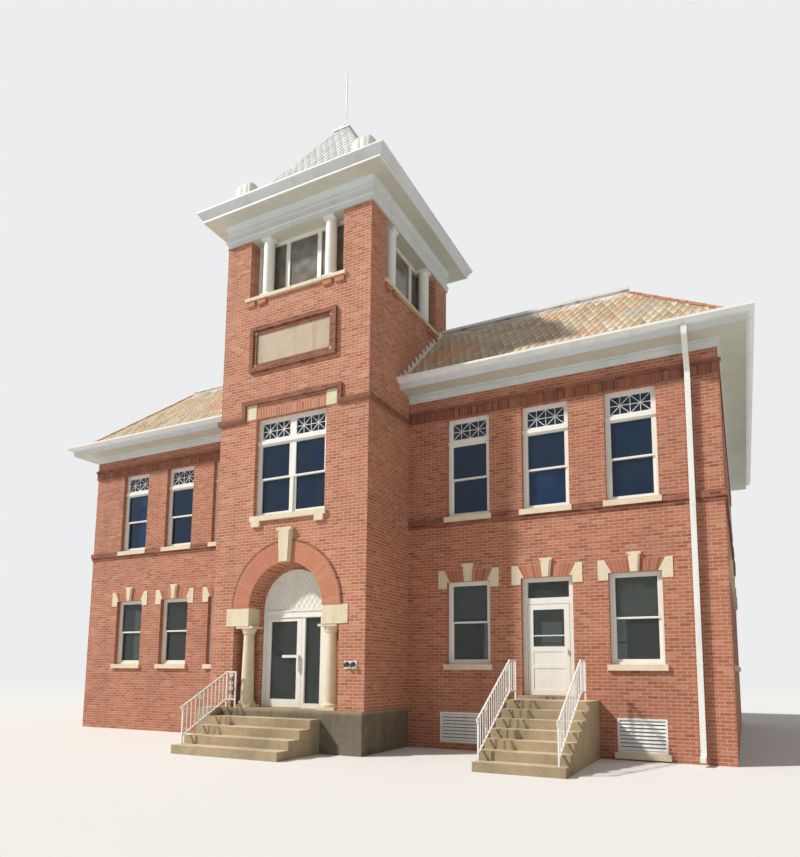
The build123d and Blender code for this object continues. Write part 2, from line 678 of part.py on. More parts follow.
with BuildPart() as downspout:
    drop_y = -BAND_PROUD - DOWNSPOUT_D / 2
    outlet_y = -gutter_foot - DOWNSPOUT_D / 2
    with BuildLine() as run:
        FilletPolyline(
            (DOWNSPOUT_X, outlet_y, gutter_z),
            (DOWNSPOUT_X, outlet_y, gutter_z - OUTLET_DROP),
            (DOWNSPOUT_X, drop_y, DOWNSPOUT_BEND_Z),
            (DOWNSPOUT_X, drop_y, DOWNSPOUT_FOOT_Z),
            (DOWNSPOUT_X, drop_y - DOWNSPOUT_KICK, DOWNSPOUT_FOOT_Z - DOWNSPOUT_KICK_DROP),
            radius=DOWNSPOUT_BEND_R,
        )
    with BuildSketch(Plane((DOWNSPOUT_X, outlet_y, gutter_z), x_dir=(1, 0, 0), z_dir=(0, 0, -1))):
        Rectangle(DOWNSPOUT_W, DOWNSPOUT_D)
    sweep(path=run.wires()[0])
    for strap_z in (LOWER_SILL_Z, UPPER_SILL_Z - SILL_BAND_H - 2 * SILL_BAND_STEP_H, UPPER_HEAD_Z - 3 * STRAP_H):
        half = DOWNSPOUT_W / 2 + STRAP_T
        block(DOWNSPOUT_X - half, DOWNSPOUT_X + half, drop_y - DOWNSPOUT_D / 2 - STRAP_T, 0, strap_z, strap_z + STRAP_H)
finish(downspout, "downspout")

# Stepped flashing where the roof meets the tower

with BuildPart() as tower_flashing:
    foot_y = eave_front
    run_y = deck_front - foot_y
    for side in (-1, 1):
        teeth = []
        for n in range(FLASHING_TEETH + 1):
            y = foot_y + run_y * n / FLASHING_TEETH
            z = FASCIA_TOP + ROOF_SLOPE * (y - foot_y) + FLASHING_H
            if n > 0:
                teeth.append((y, z - ROOF_SLOPE * run_y / FLASHING_TEETH + TOOTH_H))
            if n < FLASHING_TEETH:
                teeth.append((y, z + TOOTH_H))
        outline = [(foot_y, FASCIA_TOP)] + teeth + [(deck_front, FASCIA_TOP + ROOF_RISE)]
        x = side * TOWER_X
        plate(Plane((x, 0, 0), x_dir=(0, 1, 0), z_dir=(1, 0, 0)), outline, side * FLASHING_T)
    reach = TOWER_X + FLASHING_T
    sill_end = TOWER_MID_Y + BELFRY_HALF_W + BELFRY_SILL_EAR
    block(-reach, reach, foot_y, sill_end, BELFRY_SILL_Z - BELFRY_SILL_H - CORBEL_BRICK_H, CROWN_Z, Mode.SUBTRACT)
finish(tower_flashing, "tower_flashing")

# Projecting brick bands at the upper sills and heads

with BuildPart() as brick_bands:
    band_ring(BAND_PROUD, 0, UPPER_SILL_Z - SILL_BAND_H, UPPER_SILL_Z)
    band_ring(BAND_STEP_PROUD, 0, UPPER_SILL_Z - SILL_BAND_H - SILL_BAND_STEP_H, UPPER_SILL_Z - SILL_BAND_H)
    with Locations(*front_upper, *other_places):
        ear = OPENING_W / 2 + SILL_EAR
        block(-ear, ear, -SILL_PROJECTION, 0, UPPER_SILL_Z - SILL_H, UPPER_SILL_Z, Mode.SUBTRACT)
    band_ring(BAND_STEP_PROUD, 0, UPPER_HEAD_Z, UPPER_HEAD_Z + SOLDIER_H)
    band_z = UPPER_HEAD_Z + SOLDIER_H
    for side in (-1, 1):
        ends = sorted((side * TOWER_X, side * (HALF_W + BAND_PROUD)))
        block(*ends, -BAND_PROUD, 0, band_z, band_z + COURSE_H)
finish(brick_bands, "brick_bands")


# Stone sills, lintel stones and entrance stones

def sill(width, sill_z):
    """A stone sill: the bed under the frame and the eared nosing before the wall."""
    block(-width / 2, width / 2, 0, SASH_SET + SASH_DEPTH, sill_z - SILL_H, sill_z)
    ear = width / 2 + SILL_EAR
    block(-ear, ear, -SILL_PROJECTION, 0, sill_z - SILL_H, sill_z)


with BuildPart() as window_sills:
    with Locations(*front_upper, *other_places):
        sill(OPENING_W, UPPER_SILL_Z)
    with Locations(*front_lower, *other_places):
        sill(OPENING_W, LOWER_SILL_Z)
    with Locations(tower_face_places[0]):
        sill(TOWER_WINDOW_W, UPPER_SILL_Z)
        for side in (-1, 1):
            ends = sorted((side * TOWER_WINDOW_W / 2, side * (TOWER_WINDOW_W / 2 - CORBEL_W)))
            block(*ends, -SILL_PROJECTION, 0, UPPER_SILL_Z - SILL_H - CORBEL_H, UPPER_SILL_Z - SILL_H)
    with Locations(*tower_face_places):
        block(-BELFRY_HALF_W, BELFRY_HALF_W, 0, BELFRY_SASH_BACK, BELFRY_SILL_Z - BELFRY_SILL_H, BELFRY_SILL_Z)
        ear = BELFRY_HALF_W + BELFRY_SILL_EAR
        block(-ear, ear, -SILL_PROJECTION, 0, BELFRY_SILL_Z - BELFRY_SILL_H, BELFRY_SILL_Z)
    with Locations(vent_places[1]):
        ear = VENT_W / 2 + SILL_EAR
        block(-ear, ear, -SILL_PROJECTION, 0, VENT_SILL_Z - SILL_H, VENT_SILL_Z)
finish(window_sills, "window_sills")


def lintel_stones_at(place, width):
    """Two stones at the springing of a flat brick arch, and its fluted keystone."""
    head = LOWER_HEAD_Z
    face = Plane(place * Location((0, 0, 0), (90, 0, 0)))
    for side in (-1, 1):
        edge = width / 2
        outer = edge + LINTEL_STONE_W
        tip = edge - LINTEL_STONE_TIP
        top = head + LINTEL_STONE_RISE
        outline = [(outer, head - LINTEL_STONE_DROP), (edge, head - LINTEL_STONE_DROP), (edge, head), (tip, head),
                   (outer - LINTEL_STONE_TOP_W, top), (outer, top)]
        plate(face, [(side * x, z) for x, z in outline], LINTEL_STONE_PROUD)
    crown_z = head + KEYSTONE_H - KEYSTONE_CROWN_H
    for inset, proud in ((0, KEYSTONE_PROUD - FLUTE_D), (FLUTE_W, KEYSTONE_PROUD)):
        foot = KEYSTONE_FOOT_W / 2 - inset
        neck = KEYSTONE_TOP_W / 2 - inset
        plate(face, [(-foot, head), (foot, head), (neck, crown_z), (-neck, crown_z)], proud)
    with Locations(place):
        crown = KEYSTONE_CROWN_W / 2
        block(-crown, crown, -KEYSTONE_PROUD, 0, crown_z, crown_z + KEYSTONE_CROWN_H)


with BuildPart() as lintel_stones:
    for place in front_lower + other_places:
        lintel_stones_at(place, OPENING_W)
    lintel_stones_at(Location((SIDE_DOOR_X, 0, 0)), SIDE_OPENING_W)
    with Locations(tower_face_places[0]):
        for side in (-1, 1):
            ends = sorted((side * TOWER_WINDOW_W / 2, side * (TOWER_WINDOW_W / 2 + HEAD_STONE_W)))
            block(*ends, -HEAD_STONE_PROUD, 0, UPPER_HEAD_Z, UPPER_HEAD_Z + HEAD_STONE_H)
finish(lintel_stones, "lintel_stones")

with BuildPart() as entrance_stones:
    for side in (-1, 1):
        ends = sorted((side * ARCH_R, side * IMPOST_END_X))
        block(*ends, TOWER_FRONT - IMPOST_PROUD, TOWER_FRONT + REVEAL_D, IMPOST_Z, SPRING_Z)
    front_face = Plane((0, TOWER_FRONT, 0), x_dir=(1, 0, 0), z_dir=(0, -1, 0))
    key_foot = SPRING_Z + ARCH_R
    for inset, proud in ((0, ARCH_KEY_PROUD - ARCH_KEY_FLUTE_D), (ARCH_KEY_FLUTE_W, ARCH_KEY_PROUD)):
        foot = ARCH_KEY_FOOT_W / 2 - inset
        top = ARCH_KEY_W / 2 - inset
        plate(front_face, [(-foot, key_foot), (foot, key_foot), (top, ARCH_KEY_TOP_Z), (-top, ARCH_KEY_TOP_Z)], proud)
    crown = ARCH_KEY_W / 2 + ARCH_KEY_EAR
    block(-crown, crown, TOWER_FRONT - ARCH_KEY_PROUD, TOWER_FRONT, ARCH_KEY_TOP_Z - ARCH_KEY_CROWN_H, ARCH_KEY_TOP_Z)
finish(entrance_stones, "entrance_stones")

with BuildPart() as tower_brick_trim:
    with BuildSketch(front_face) as ring:
        with Locations((0, SPRING_Z)):
            Circle(ARCH_R + ARCH_RING_W)
            Circle(ARCH_R, mode=Mode.SUBTRACT)
            with Locations((0, -ARCH_R - ARCH_RING_W)):
                Rectangle(4 * ARCH_R, 2 * (ARCH_R + ARCH_RING_W), mode=Mode.SUBTRACT)
        foot = ARCH_KEY_FOOT_W / 2
        with BuildLine():
            Polyline((-foot, SPRING_Z), (foot, SPRING_Z), (foot, key_foot), (ARCH_KEY_W / 2, ARCH_KEY_TOP_Z),
                     (-ARCH_KEY_W / 2, ARCH_KEY_TOP_Z), (-foot, key_foot), close=True)
        make_face(mode=Mode.SUBTRACT)
    extrude(ring.sketch, amount=ARCH_RING_PROUD)
    with BuildSketch(front_face) as label:
        with BuildLine():
            Polyline(
                (-TOWER_X, LABEL_ARM_Z), (-LABEL_HALF_W + LABEL_H, LABEL_ARM_Z),
                (-LABEL_HALF_W + LABEL_H, LABEL_TOP_Z - LABEL_H), (LABEL_HALF_W - LABEL_H, LABEL_TOP_Z - LABEL_H),
                (LABEL_HALF_W - LABEL_H, LABEL_ARM_Z), (TOWER_X, LABEL_ARM_Z), (TOWER_X, LABEL_ARM_Z + LABEL_H),
                (LABEL_HALF_W, LABEL_ARM_Z + LABEL_H), (LABEL_HALF_W, LABEL_TOP_Z), (-LABEL_HALF_W, LABEL_TOP_Z),
                (-LABEL_HALF_W, LABEL_ARM_Z + LABEL_H), (-TOWER_X, LABEL_ARM_Z + LABEL_H), close=True)
        make_face()
    extrude(label.sketch, amount=LABEL_PROUD)
    for side in (-1, 1):
        ends = sorted((side * TOWER_X, side * (TOWER_X + LABEL_PROUD)))
        block(*ends, TOWER_FRONT - LABEL_PROUD, -BAND_PROUD, LABEL_ARM_Z, LABEL_ARM_Z + LABEL_H)
    middle_z = PLAQUE_Z + PLAQUE_H / 2
    bed_half_w = PLAQUE_HALF_W - PLAQUE_FRAME_W
    bed_h = PLAQUE_H - 2 * PLAQUE_FRAME_W
    panel_half_w = bed_half_w - PLAQUE_BED_W
    panel_h = bed_h - 2 * PLAQUE_BED_W
    corner_x = panel_half_w + PLAQUE_BED_W / 2
    corner_z = (panel_h + PLAQUE_BED_W) / 2
    bed_corners = [(side * corner_x, up * corner_z) for side in (-1, 1) for up in (-1, 1)]
    with BuildSketch(front_face) as surround:
        with Locations((0, middle_z)):
            Rectangle(2 * PLAQUE_HALF_W, PLAQUE_H)
            Rectangle(2 * bed_half_w, bed_h, mode=Mode.SUBTRACT)
    extrude(surround.sketch, amount=PLAQUE_PROUD)
    with BuildSketch(front_face) as bed:
        with Locations((0, middle_z)):
            Rectangle(2 * bed_half_w, bed_h)
            Rectangle(2 * panel_half_w, panel_h, mode=Mode.SUBTRACT)
            with Locations(*bed_corners):
                Rectangle(PLAQUE_BED_W + 2 * SLICE, PLAQUE_BED_W + 2 * SLICE, mode=Mode.SUBTRACT)
    extrude(bed.sketch, amount=PLAQUE_BED_PROUD)
    for place in tower_face_places:
        with Locations(place):
            for side in (-1, 1):
                for n in range(2):
                    outer = BELFRY_HALF_W + CORBEL_BRICK_GAP / 2 - n * (CORBEL_BRICK_W + CORBEL_BRICK_GAP)
                    ends = sorted((side * outer, side * (outer - CORBEL_BRICK_W)))
                    foot = BELFRY_SILL_Z - BELFRY_SILL_H - CORBEL_BRICK_H
                    block(*ends, -CORBEL_BRICK_PROUD, 0, foot, foot + CORBEL_BRICK_H)
finish(tower_brick_trim, "tower_brick_trim")

with BuildPart() as stone_plaque:
    with Locations((0, TOWER_FRONT - PANEL_PROUD / 2, middle_z)):
        Box(2 * panel_half_w, PANEL_PROUD, panel_h)
    with Locations((0, TOWER_FRONT - PLAQUE_BED_PROUD / 2, middle_z)):
        with Locations(*[(x, 0, z) for x, z in bed_corners]):
            Box(PLAQUE_BED_W, PLAQUE_BED_PROUD, PLAQUE_BED_W)
finish(stone_plaque, "stone_plaque")

with BuildPart() as entrance_columns:
    foot_r = COLUMN_BASE_R + COLUMN_FOOT_RING
    ring_r = COLUMN_NECK_R + COLUMN_NECK_RING
    shaft_foot = BASE_TOP + COLUMN_PLINTH_H
    shaft_top = IMPOST_Z - COLUMN_ABACUS_H
    for side in (-1, 1):
        place = Location((side * COLUMN_X, TOWER_FRONT + COLUMN_SET, 0))
        with BuildSketch(Plane.XZ) as half:
            with BuildLine():
                Polyline((0, shaft_foot), (foot_r, shaft_foot), (foot_r, shaft_foot + COLUMN_FOOT_H),
                         (COLUMN_BASE_R, shaft_foot + COLUMN_FOOT_TOP), (COLUMN_NECK_R, shaft_top - COLUMN_NECK_LOW),
                         (ring_r, shaft_top - COLUMN_NECK_MID), (ring_r, shaft_top - COLUMN_NECK_TOP),
                         (COLUMN_DEPTH / 2 - COLUMN_CAP_EDGE, shaft_top), (0, shaft_top), close=True)
            make_face()
        with Locations(place):
            with BuildPart(mode=Mode.PRIVATE) as turned:
                revolve(half.sketch, axis=Axis.Z)
            add(turned.part)
            with Locations((0, 0, BASE_TOP + COLUMN_PLINTH_H / 2)):
                Box(COLUMN_PLINTH, COLUMN_DEPTH, COLUMN_PLINTH_H)
            with Locations((0, 0, IMPOST_Z - COLUMN_ABACUS_H / 2)):
                Box(COLUMN_ABACUS, COLUMN_DEPTH, COLUMN_ABACUS_H)
finish(entrance_columns, "entrance_columns")


# Windows

def window_rows(lower):
    """Glass rows of a window from the sill up: pairs of lowest and highest height."""
    if lower:
        sill_z, head_z, top_rail, transom = LOWER_SILL_Z, LOWER_HEAD_Z, HEAD_RAIL, 0
    else:
        sill_z, head_z, top_rail, transom = UPPER_SILL_Z, UPPER_HEAD_Z, UPPER_TOP_RAIL, TRANSOM_GLASS_H + TRANSOM_BAR
    sash_low = sill_z + BOTTOM_RAIL
    sash_high = head_z - top_rail - transom
    sash_mid = (sash_low + sash_high) / 2
    rows = [(sash_low, sash_mid - MEETING_RAIL / 2), (sash_mid + MEETING_RAIL / 2, sash_high)]
    if transom:
        rows.append((head_z - top_rail - TRANSOM_GLASS_H, head_z - top_rail))
    return sill_z, head_z, rows


def window_frame(width, lower, lights=1):
    """A double-hung frame: the lower sash sits a step behind the upper one."""
    sill_z, head_z, rows = window_rows(lower)
    block(-width / 2, width / 2, SASH_SET, SASH_SET + SASH_DEPTH, sill_z, head_z)
    for left, right in light_bays(width, lights):
        for low, high in rows:
            block(left, right, SASH_SET - SLICE, SASH_SET + SASH_DEPTH + SLICE, low, high, Mode.SUBTRACT)
        edge = JAMB_W / 2
        block(left - edge, right + edge, SASH_SET - SLICE, SASH_SET + LOWER_SASH_STEP,
              rows[0][0] - BOTTOM_RAIL / 2, rows[0][1], Mode.SUBTRACT)
    if not lower:
        nosing_z = (rows[1][1] + rows[2][0] - TRANSOM_NOSING_H) / 2
        block(-width / 2, width / 2, SASH_SET - TRANSOM_NOSING_PROUD, SASH_SET, nosing_z, nosing_z + TRANSOM_NOSING_H)


def light_bays(width, lights):
    """The glass bays between the jambs, with a mullion between two lights."""
    if lights == 1:
        return [(-width / 2 + JAMB_W, width / 2 - JAMB_W)]
    return [(-width / 2 + JAMB_W, -TOWER_MULLION / 2), (TOWER_MULLION / 2, width / 2 - JAMB_W)]


def window_glass(width, lower, lights=1):
    """The panes of one window, the lower one behind the upper."""
    for left, right in light_bays(width, lights):
        for n, (low, high) in enumerate(window_rows(lower)[2]):
            back = SASH_SET + PANE_SET + (LOWER_SASH_STEP if n == 0 else 0)
            block(left, right, back, back + GLASS_T, low, high)


with BuildPart() as front_window_frames:
    with Locations(*front_upper):
        window_frame(OPENING_W, False)
    with Locations(*front_lower):
        window_frame(OPENING_W, True)
    with Locations(tower_face_places[0]):
        window_frame(TOWER_WINDOW_W, False, 2)
finish(front_window_frames, "front_window_frames")

with BuildPart() as front_window_glass:
    with Locations(*front_upper):
        window_glass(OPENING_W, False)
    with Locations(*front_lower):
        window_glass(OPENING_W, True)
    with Locations(tower_face_places[0]):
        window_glass(TOWER_WINDOW_W, False, 2)
finish(front_window_glass, "front_window_glass")

with BuildPart() as side_and_rear_window_frames:
    with Locations(*other_places):
        window_frame(OPENING_W, False)
        window_frame(OPENING_W, True)
finish(side_and_rear_window_frames, "side_and_rear_window_frames")

with BuildPart() as side_and_rear_window_glass:
    with Locations(*other_places):
        window_glass(OPENING_W, False)
        window_glass(OPENING_W, True)
finish(side_and_rear_window_glass, "side_and_rear_window_glass")


# Doors

def knuckle(x, y, centre_z):
    """One hinge knuckle, rounded with few sides."""
    with BuildSketch(Plane((x, y, centre_z - KNUCKLE_H / 2))) as round_face:
        RegularPolygon(KNUCKLE_R, KNUCKLE_SIDES)
    extrude(round_face.sketch, amount=KNUCKLE_H)


def knuckles(x, y, heights, on_leaf):
    """Hinge knuckles on one axis: the middle one on the leaf, the outer two on the frame."""
    for z in heights:
        if on_leaf:
            knuckle(x, y, z)
            block(x, x + HINGE_PLATE_W, y + KNUCKLE_R - HINGE_PLATE_T, y + KNUCKLE_R, z - KNUCKLE_H / 2, z + KNUCKLE_H / 2)
        else:
            for side in (-1, 1):
                centre = z + side * (KNUCKLE_H + KNUCKLE_GAP)
                knuckle(x, y, centre)
                block(x - HINGE_PLATE_W, x, y + KNUCKLE_R - HINGE_PLATE_T, y + KNUCKLE_R,
                      centre - KNUCKLE_H / 2, centre + KNUCKLE_H / 2)


main_door_face = DOOR_FRAME_FACE
main_door_right = MAIN_DOOR_LEFT + MAIN_DOOR_W
main_door_foot = BASE_TOP + DOOR_GAP
main_door_top = TRANSOM_Z - DOOR_GAP
main_hinge_x = MAIN_DOOR_LEFT - DOOR_GAP / 2
main_hinge_y = main_door_face - KNUCKLE_R
main_hinge_heights = (main_door_foot + MAIN_HINGE_INSET, (main_door_foot + main_door_top) / 2,
                      main_door_top - MAIN_HINGE_INSET)

with BuildPart() as entrance_door_frame:
    face_plane = Plane((0, DOOR_FRAME_FACE + DOOR_FRAME_D, 0), x_dir=(1, 0, 0), z_dir=(0, -1, 0))
    with BuildSketch(face_plane) as frame_outline:
        with Locations((0, (BASE_TOP + SPRING_Z) / 2)):
            Rectangle(2 * DOOR_FRAME_R, SPRING_Z - BASE_TOP)
        with Locations((0, SPRING_Z)):
            Circle(DOOR_FRAME_R)
        with Locations((0, SPRING_Z)):
            Circle(DOOR_FRAME_R - FANLIGHT_RIM, mode=Mode.SUBTRACT)
        with Locations((0, (BASE_TOP + TRANSOM_Z + TRANSOM_H) / 2)):
            Rectangle(2 * DOOR_FRAME_R, TRANSOM_Z + TRANSOM_H - BASE_TOP)
        leaf_w = MAIN_DOOR_W + 2 * DOOR_GAP
        leaf_x = MAIN_DOOR_LEFT + MAIN_DOOR_W / 2
        with Locations((leaf_x, (BASE_TOP + TRANSOM_Z) / 2)):
            Rectangle(leaf_w, TRANSOM_Z - BASE_TOP, mode=Mode.SUBTRACT)
        light_left = main_door_right + DOOR_GAP + DOOR_POST
        with Locations(((light_left + SIDELIGHT_RIGHT) / 2, (BASE_TOP + SIDELIGHT_SILL + TRANSOM_Z) / 2)):
            Rectangle(SIDELIGHT_RIGHT - light_left, TRANSOM_Z - BASE_TOP - SIDELIGHT_SILL, mode=Mode.SUBTRACT)
    extrude(frame_outline.sketch, amount=DOOR_FRAME_D)
    knuckles(main_hinge_x, main_hinge_y, main_hinge_heights, False)
finish(entrance_door_frame, "entrance_door_frame")

glass_y = DOOR_FRAME_FACE + DOOR_FRAME_D / 2
with BuildPart() as doorway_glass:
    block(light_left, SIDELIGHT_RIGHT, glass_y, glass_y + GLASS_T, BASE_TOP + SIDELIGHT_SILL, TRANSOM_Z)
    with BuildSketch(Plane((0, glass_y + GLASS_T, 0), x_dir=(1, 0, 0), z_dir=(0, -1, 0))) as fan:
        with Locations((0, SPRING_Z)):
            Circle(DOOR_FRAME_R - FANLIGHT_RIM)
        with Locations((0, TRANSOM_Z + TRANSOM_H - DOOR_FRAME_R)):
            Rectangle(4 * DOOR_FRAME_R, 2 * DOOR_FRAME_R, mode=Mode.SUBTRACT)
    extrude(fan.sketch, amount=GLASS_T)
    side_glass_y = SASH_SET + SASH_DEPTH / 2
    block(SIDE_DOOR_X - SIDE_DOOR_W / 2, SIDE_DOOR_X + SIDE_DOOR_W / 2, side_glass_y, side_glass_y + GLASS_T,
          SIDE_TRANSOM_SILL, LOWER_HEAD_Z - SIDE_TRANSOM_RIM)
finish(doorway_glass, "doorway_glass")

with BuildPart() as main_door:
    block(MAIN_DOOR_LEFT, main_door_right, main_door_face, main_door_face + MAIN_DOOR_T, main_door_foot, main_door_top)
    block(MAIN_DOOR_LEFT + MAIN_STILE, main_door_right - MAIN_STILE, main_door_face, main_door_face + MAIN_DOOR_T,
          main_door_foot + MAIN_BOTTOM_RAIL, main_door_top - MAIN_TOP_RAIL, Mode.SUBTRACT)
    knuckles(main_hinge_x, main_hinge_y, main_hinge_heights, True)
    pull_y = main_door_face - PULL_STANDOFF
    pull_back = pull_y + PULL_T
    pull_right = main_door_right - PULL_EDGE
    pull_left = pull_right - PULL_W
    block(main_door_right - PULL_REACH, pull_right, pull_y, pull_back, PULL_BAR_Z, PULL_TOP_Z)
    block(pull_left, pull_right, pull_y, pull_back, PULL_FOOT_Z, PULL_TOP_Z)
    block(pull_left, pull_right, pull_back, main_door_face, PULL_BAR_Z, PULL_TOP_Z)
    block(pull_left, pull_right, pull_back, main_door_face, PULL_FOOT_Z, PULL_FOOT_Z + PULL_FOOT_H)
finish(main_door, "main_door")

with BuildPart() as main_door_glass:
    pane_y = main_door_face + MAIN_DOOR_T / 2
    block(MAIN_DOOR_LEFT + MAIN_STILE, main_door_right - MAIN_STILE, pane_y, pane_y + GLASS_T,
          main_door_foot + MAIN_BOTTOM_RAIL, main_door_top - MAIN_TOP_RAIL)
finish(main_door_glass, "main_door_glass")

side_leaf_left = SIDE_DOOR_X - SIDE_DOOR_W / 2
side_leaf_right = SIDE_DOOR_X + SIDE_DOOR_W / 2
side_leaf_foot = THRESHOLD_Z + DOOR_GAP
side_hinge_x = side_leaf_left - DOOR_GAP / 2
side_hinge_y = SASH_SET - KNUCKLE_R
side_hinge_heights = (side_leaf_foot + SIDE_HINGE_INSET, (side_leaf_foot + SIDE_DOOR_TOP) / 2,
                      SIDE_DOOR_TOP - SIDE_HINGE_INSET)

with BuildPart() as side_door_frame:
    block(door_left, door_right, SASH_SET, SASH_SET + SASH_DEPTH, THRESHOLD_Z, LOWER_HEAD_Z)
    block(side_leaf_left - DOOR_GAP, side_leaf_right + DOOR_GAP, SASH_SET, SASH_SET + SASH_DEPTH,
          THRESHOLD_Z, SIDE_DOOR_TOP + DOOR_GAP, Mode.SUBTRACT)
    block(side_leaf_left, side_leaf_right, SASH_SET, SASH_SET + SASH_DEPTH,
          SIDE_TRANSOM_SILL, LOWER_HEAD_Z - SIDE_TRANSOM_RIM, Mode.SUBTRACT)
    knuckles(side_hinge_x, side_hinge_y, side_hinge_heights, False)
finish(side_door_frame, "side_door_frame")

with BuildPart() as side_door:
    block(side_leaf_left, side_leaf_right, SASH_SET, SASH_SET + SIDE_DOOR_T, side_leaf_foot, SIDE_DOOR_TOP)
    block(side_leaf_left + SIDE_STILE, side_leaf_right - SIDE_STILE, SASH_SET, SASH_SET + SIDE_DOOR_T,
          SIDE_GLASS_SILL, SIDE_DOOR_TOP - SIDE_STILE, Mode.SUBTRACT)
    block(side_leaf_left + SIDE_STILE, side_leaf_right - SIDE_STILE, SASH_SET, SASH_SET + SIDE_PANEL_DEPTH,
          SIDE_PANEL_SILL, SIDE_PANEL_TOP, Mode.SUBTRACT)
    block(side_leaf_left + SIDE_STILE, side_leaf_right - SIDE_STILE, SASH_SET, SASH_SET + SIDE_PANEL_DEPTH,
          side_leaf_foot + SIDE_STILE, SIDE_PANEL_SILL - SIDE_PANEL_RAIL, Mode.SUBTRACT)
    knuckles(side_hinge_x, side_hinge_y, side_hinge_heights, True)
    latch_right = side_leaf_right - LATCH_EDGE
    block(latch_right - LATCH_W, latch_right, SASH_SET - LATCH_PROUD, SASH_SET, LATCH_Z, LATCH_Z + LATCH_H)
finish(side_door, "side_door")

with BuildPart() as side_door_glass:
    pane_y = SASH_SET + SIDE_DOOR_T / 2
    block(side_leaf_left + SIDE_STILE, side_leaf_right - SIDE_STILE, pane_y, pane_y + GLASS_T,
          SIDE_GLASS_SILL, SIDE_DOOR_TOP - SIDE_STILE)
finish(side_door_glass, "side_door_glass")

# Steps

with BuildPart() as main_steps:
    rise = BASE_TOP / MAIN_STEP_COUNT
    for n in range(1, MAIN_STEP_COUNT):
        block(MAIN_STEP_LEFT, MAIN_STEP_RIGHT, BASE_FACE - n * MAIN_STEP_RUN, BASE_FACE, 0, BASE_TOP - n * rise)
    block(MAIN_STEP_LEFT - CHEEK_W, MAIN_STEP_LEFT, BASE_FACE - CHEEK_D, BASE_FACE, 0, BASE_TOP)
finish(main_steps, "main_steps")

with BuildPart() as side_steps:
    rise = LANDING_Z / SIDE_STEP_COUNT
    for n in range(SIDE_STEP_COUNT):
        block(SIDE_STEP_LEFT, SIDE_STEP_RIGHT, -LANDING_D - n * SIDE_STEP_RUN, 0, 0, LANDING_Z - n * rise)
    block(door_left - DOOR_STEP_EAR, door_right + DOOR_STEP_EAR, -DOOR_STEP_D, 0, LANDING_Z, THRESHOLD_Z)
finish(side_steps, "side_steps")


# Railings

def sloping_rail(x, top_y, floor_z, foot_y, low_z, top_post_z, foot_post_z):
    """One railing: two posts, a top and a bottom rail on the slope, and its balusters."""
    half = RAIL_T / 2
    side_plane = Plane((x - half, 0, 0), x_dir=(0, 1, 0), z_dir=(1, 0, 0))
    for lift in (RAIL_H - RAIL_T, LOW_RAIL_LIFT):
        plate(side_plane, [(foot_y, low_z + lift), (top_y, floor_z + lift), (top_y, floor_z + lift + RAIL_T),
                           (foot_y, low_z + lift + RAIL_T)], RAIL_T)
    block(x - half, x + half, top_y - half, top_y + half, top_post_z, floor_z + RAIL_H)
    block(x - half, x + half, foot_y - half, foot_y + half, foot_post_z, low_z + RAIL_H)
    count = round((top_y - foot_y) / BALUSTER_PITCH)
    for n in range(1, count):
        baluster(x, foot_y + (top_y - foot_y) * n / count, low_z + (floor_z - low_z) * n / count)


def baluster(x, y, floor_z):
    """One upright bar between the bottom rail and the top rail."""
    half = BALUSTER_T / 2
    block(x - half, x + half, y - half, y + half, floor_z + LOW_RAIL_LIFT + half, floor_z + RAIL_H - RAIL_T / 2)


def side_step_top(y):
    """Height of the side flight under a point."""
    if y > -LANDING_D:
        return LANDING_Z
    n = min(int((-LANDING_D - y) // SIDE_STEP_RUN) + 1, SIDE_STEP_COUNT - 1)
    return LANDING_Z - n * LANDING_Z / SIDE_STEP_COUNT


def main_step_top(y):
    """Height of the main flight under a point."""
    if y > BASE_FACE:
        return BASE_TOP
    n = min(int((BASE_FACE - y) // MAIN_STEP_RUN) + 1, MAIN_STEP_COUNT - 1)
    return BASE_TOP - n * BASE_TOP / MAIN_STEP_COUNT


with BuildPart() as main_railing:
    foot_y = BASE_FACE - (MAIN_STEP_COUNT - 1.5) * MAIN_STEP_RUN
    foot_z = main_step_top(foot_y)
    top_y = BASE_FACE + RAIL_INSET
    sloping_rail(MAIN_RAIL_X, top_y, BASE_TOP, foot_y, foot_z, BASE_TOP, foot_z)
    half = RAIL_T / 2
    end_x = MAIN_RAIL_X + MAIN_RAIL_RETURN
    for lift in (RAIL_H - RAIL_T, LOW_RAIL_LIFT):
        block(MAIN_RAIL_X, end_x, top_y - half, top_y + half, BASE_TOP + lift, BASE_TOP + lift + RAIL_T)
    block(end_x - half, end_x + half, top_y - half, top_y + half, BASE_TOP, BASE_TOP + RAIL_H)
finish(main_railing, "main_railing")

for x, name in zip(SIDE_RAIL_XS, ("side_left_railing", "side_right_railing")):
    with BuildPart() as side_railing:
        half = RAIL_T / 2
        foot_y = -LANDING_D - (SIDE_STEP_COUNT - 1.5) * SIDE_STEP_RUN
        front = -LANDING_D + RAIL_T
        back = front + SIDE_RAIL_RETURN
        low_z = LANDING_Z - SIDE_RAIL_SLOPE * (front - foot_y)
        sloping_rail(x, front, LANDING_Z, foot_y, low_z, LANDING_Z + LOW_RAIL_LIFT, side_step_top(foot_y))
        for lift in (RAIL_H - RAIL_T, LOW_RAIL_LIFT):
            block(x - half, x + half, front, back, LANDING_Z + lift, LANDING_Z + lift + RAIL_T)
        block(x - half, x + half, back - half, back + half, LANDING_Z, LANDING_Z + RAIL_H)
        count = round(SIDE_RAIL_RETURN / BALUSTER_PITCH)
        for n in range(1, count):
            baluster(x, front + SIDE_RAIL_RETURN * n / count, LANDING_Z)
    finish(side_railing, name)

# Basement vents and wall lamp

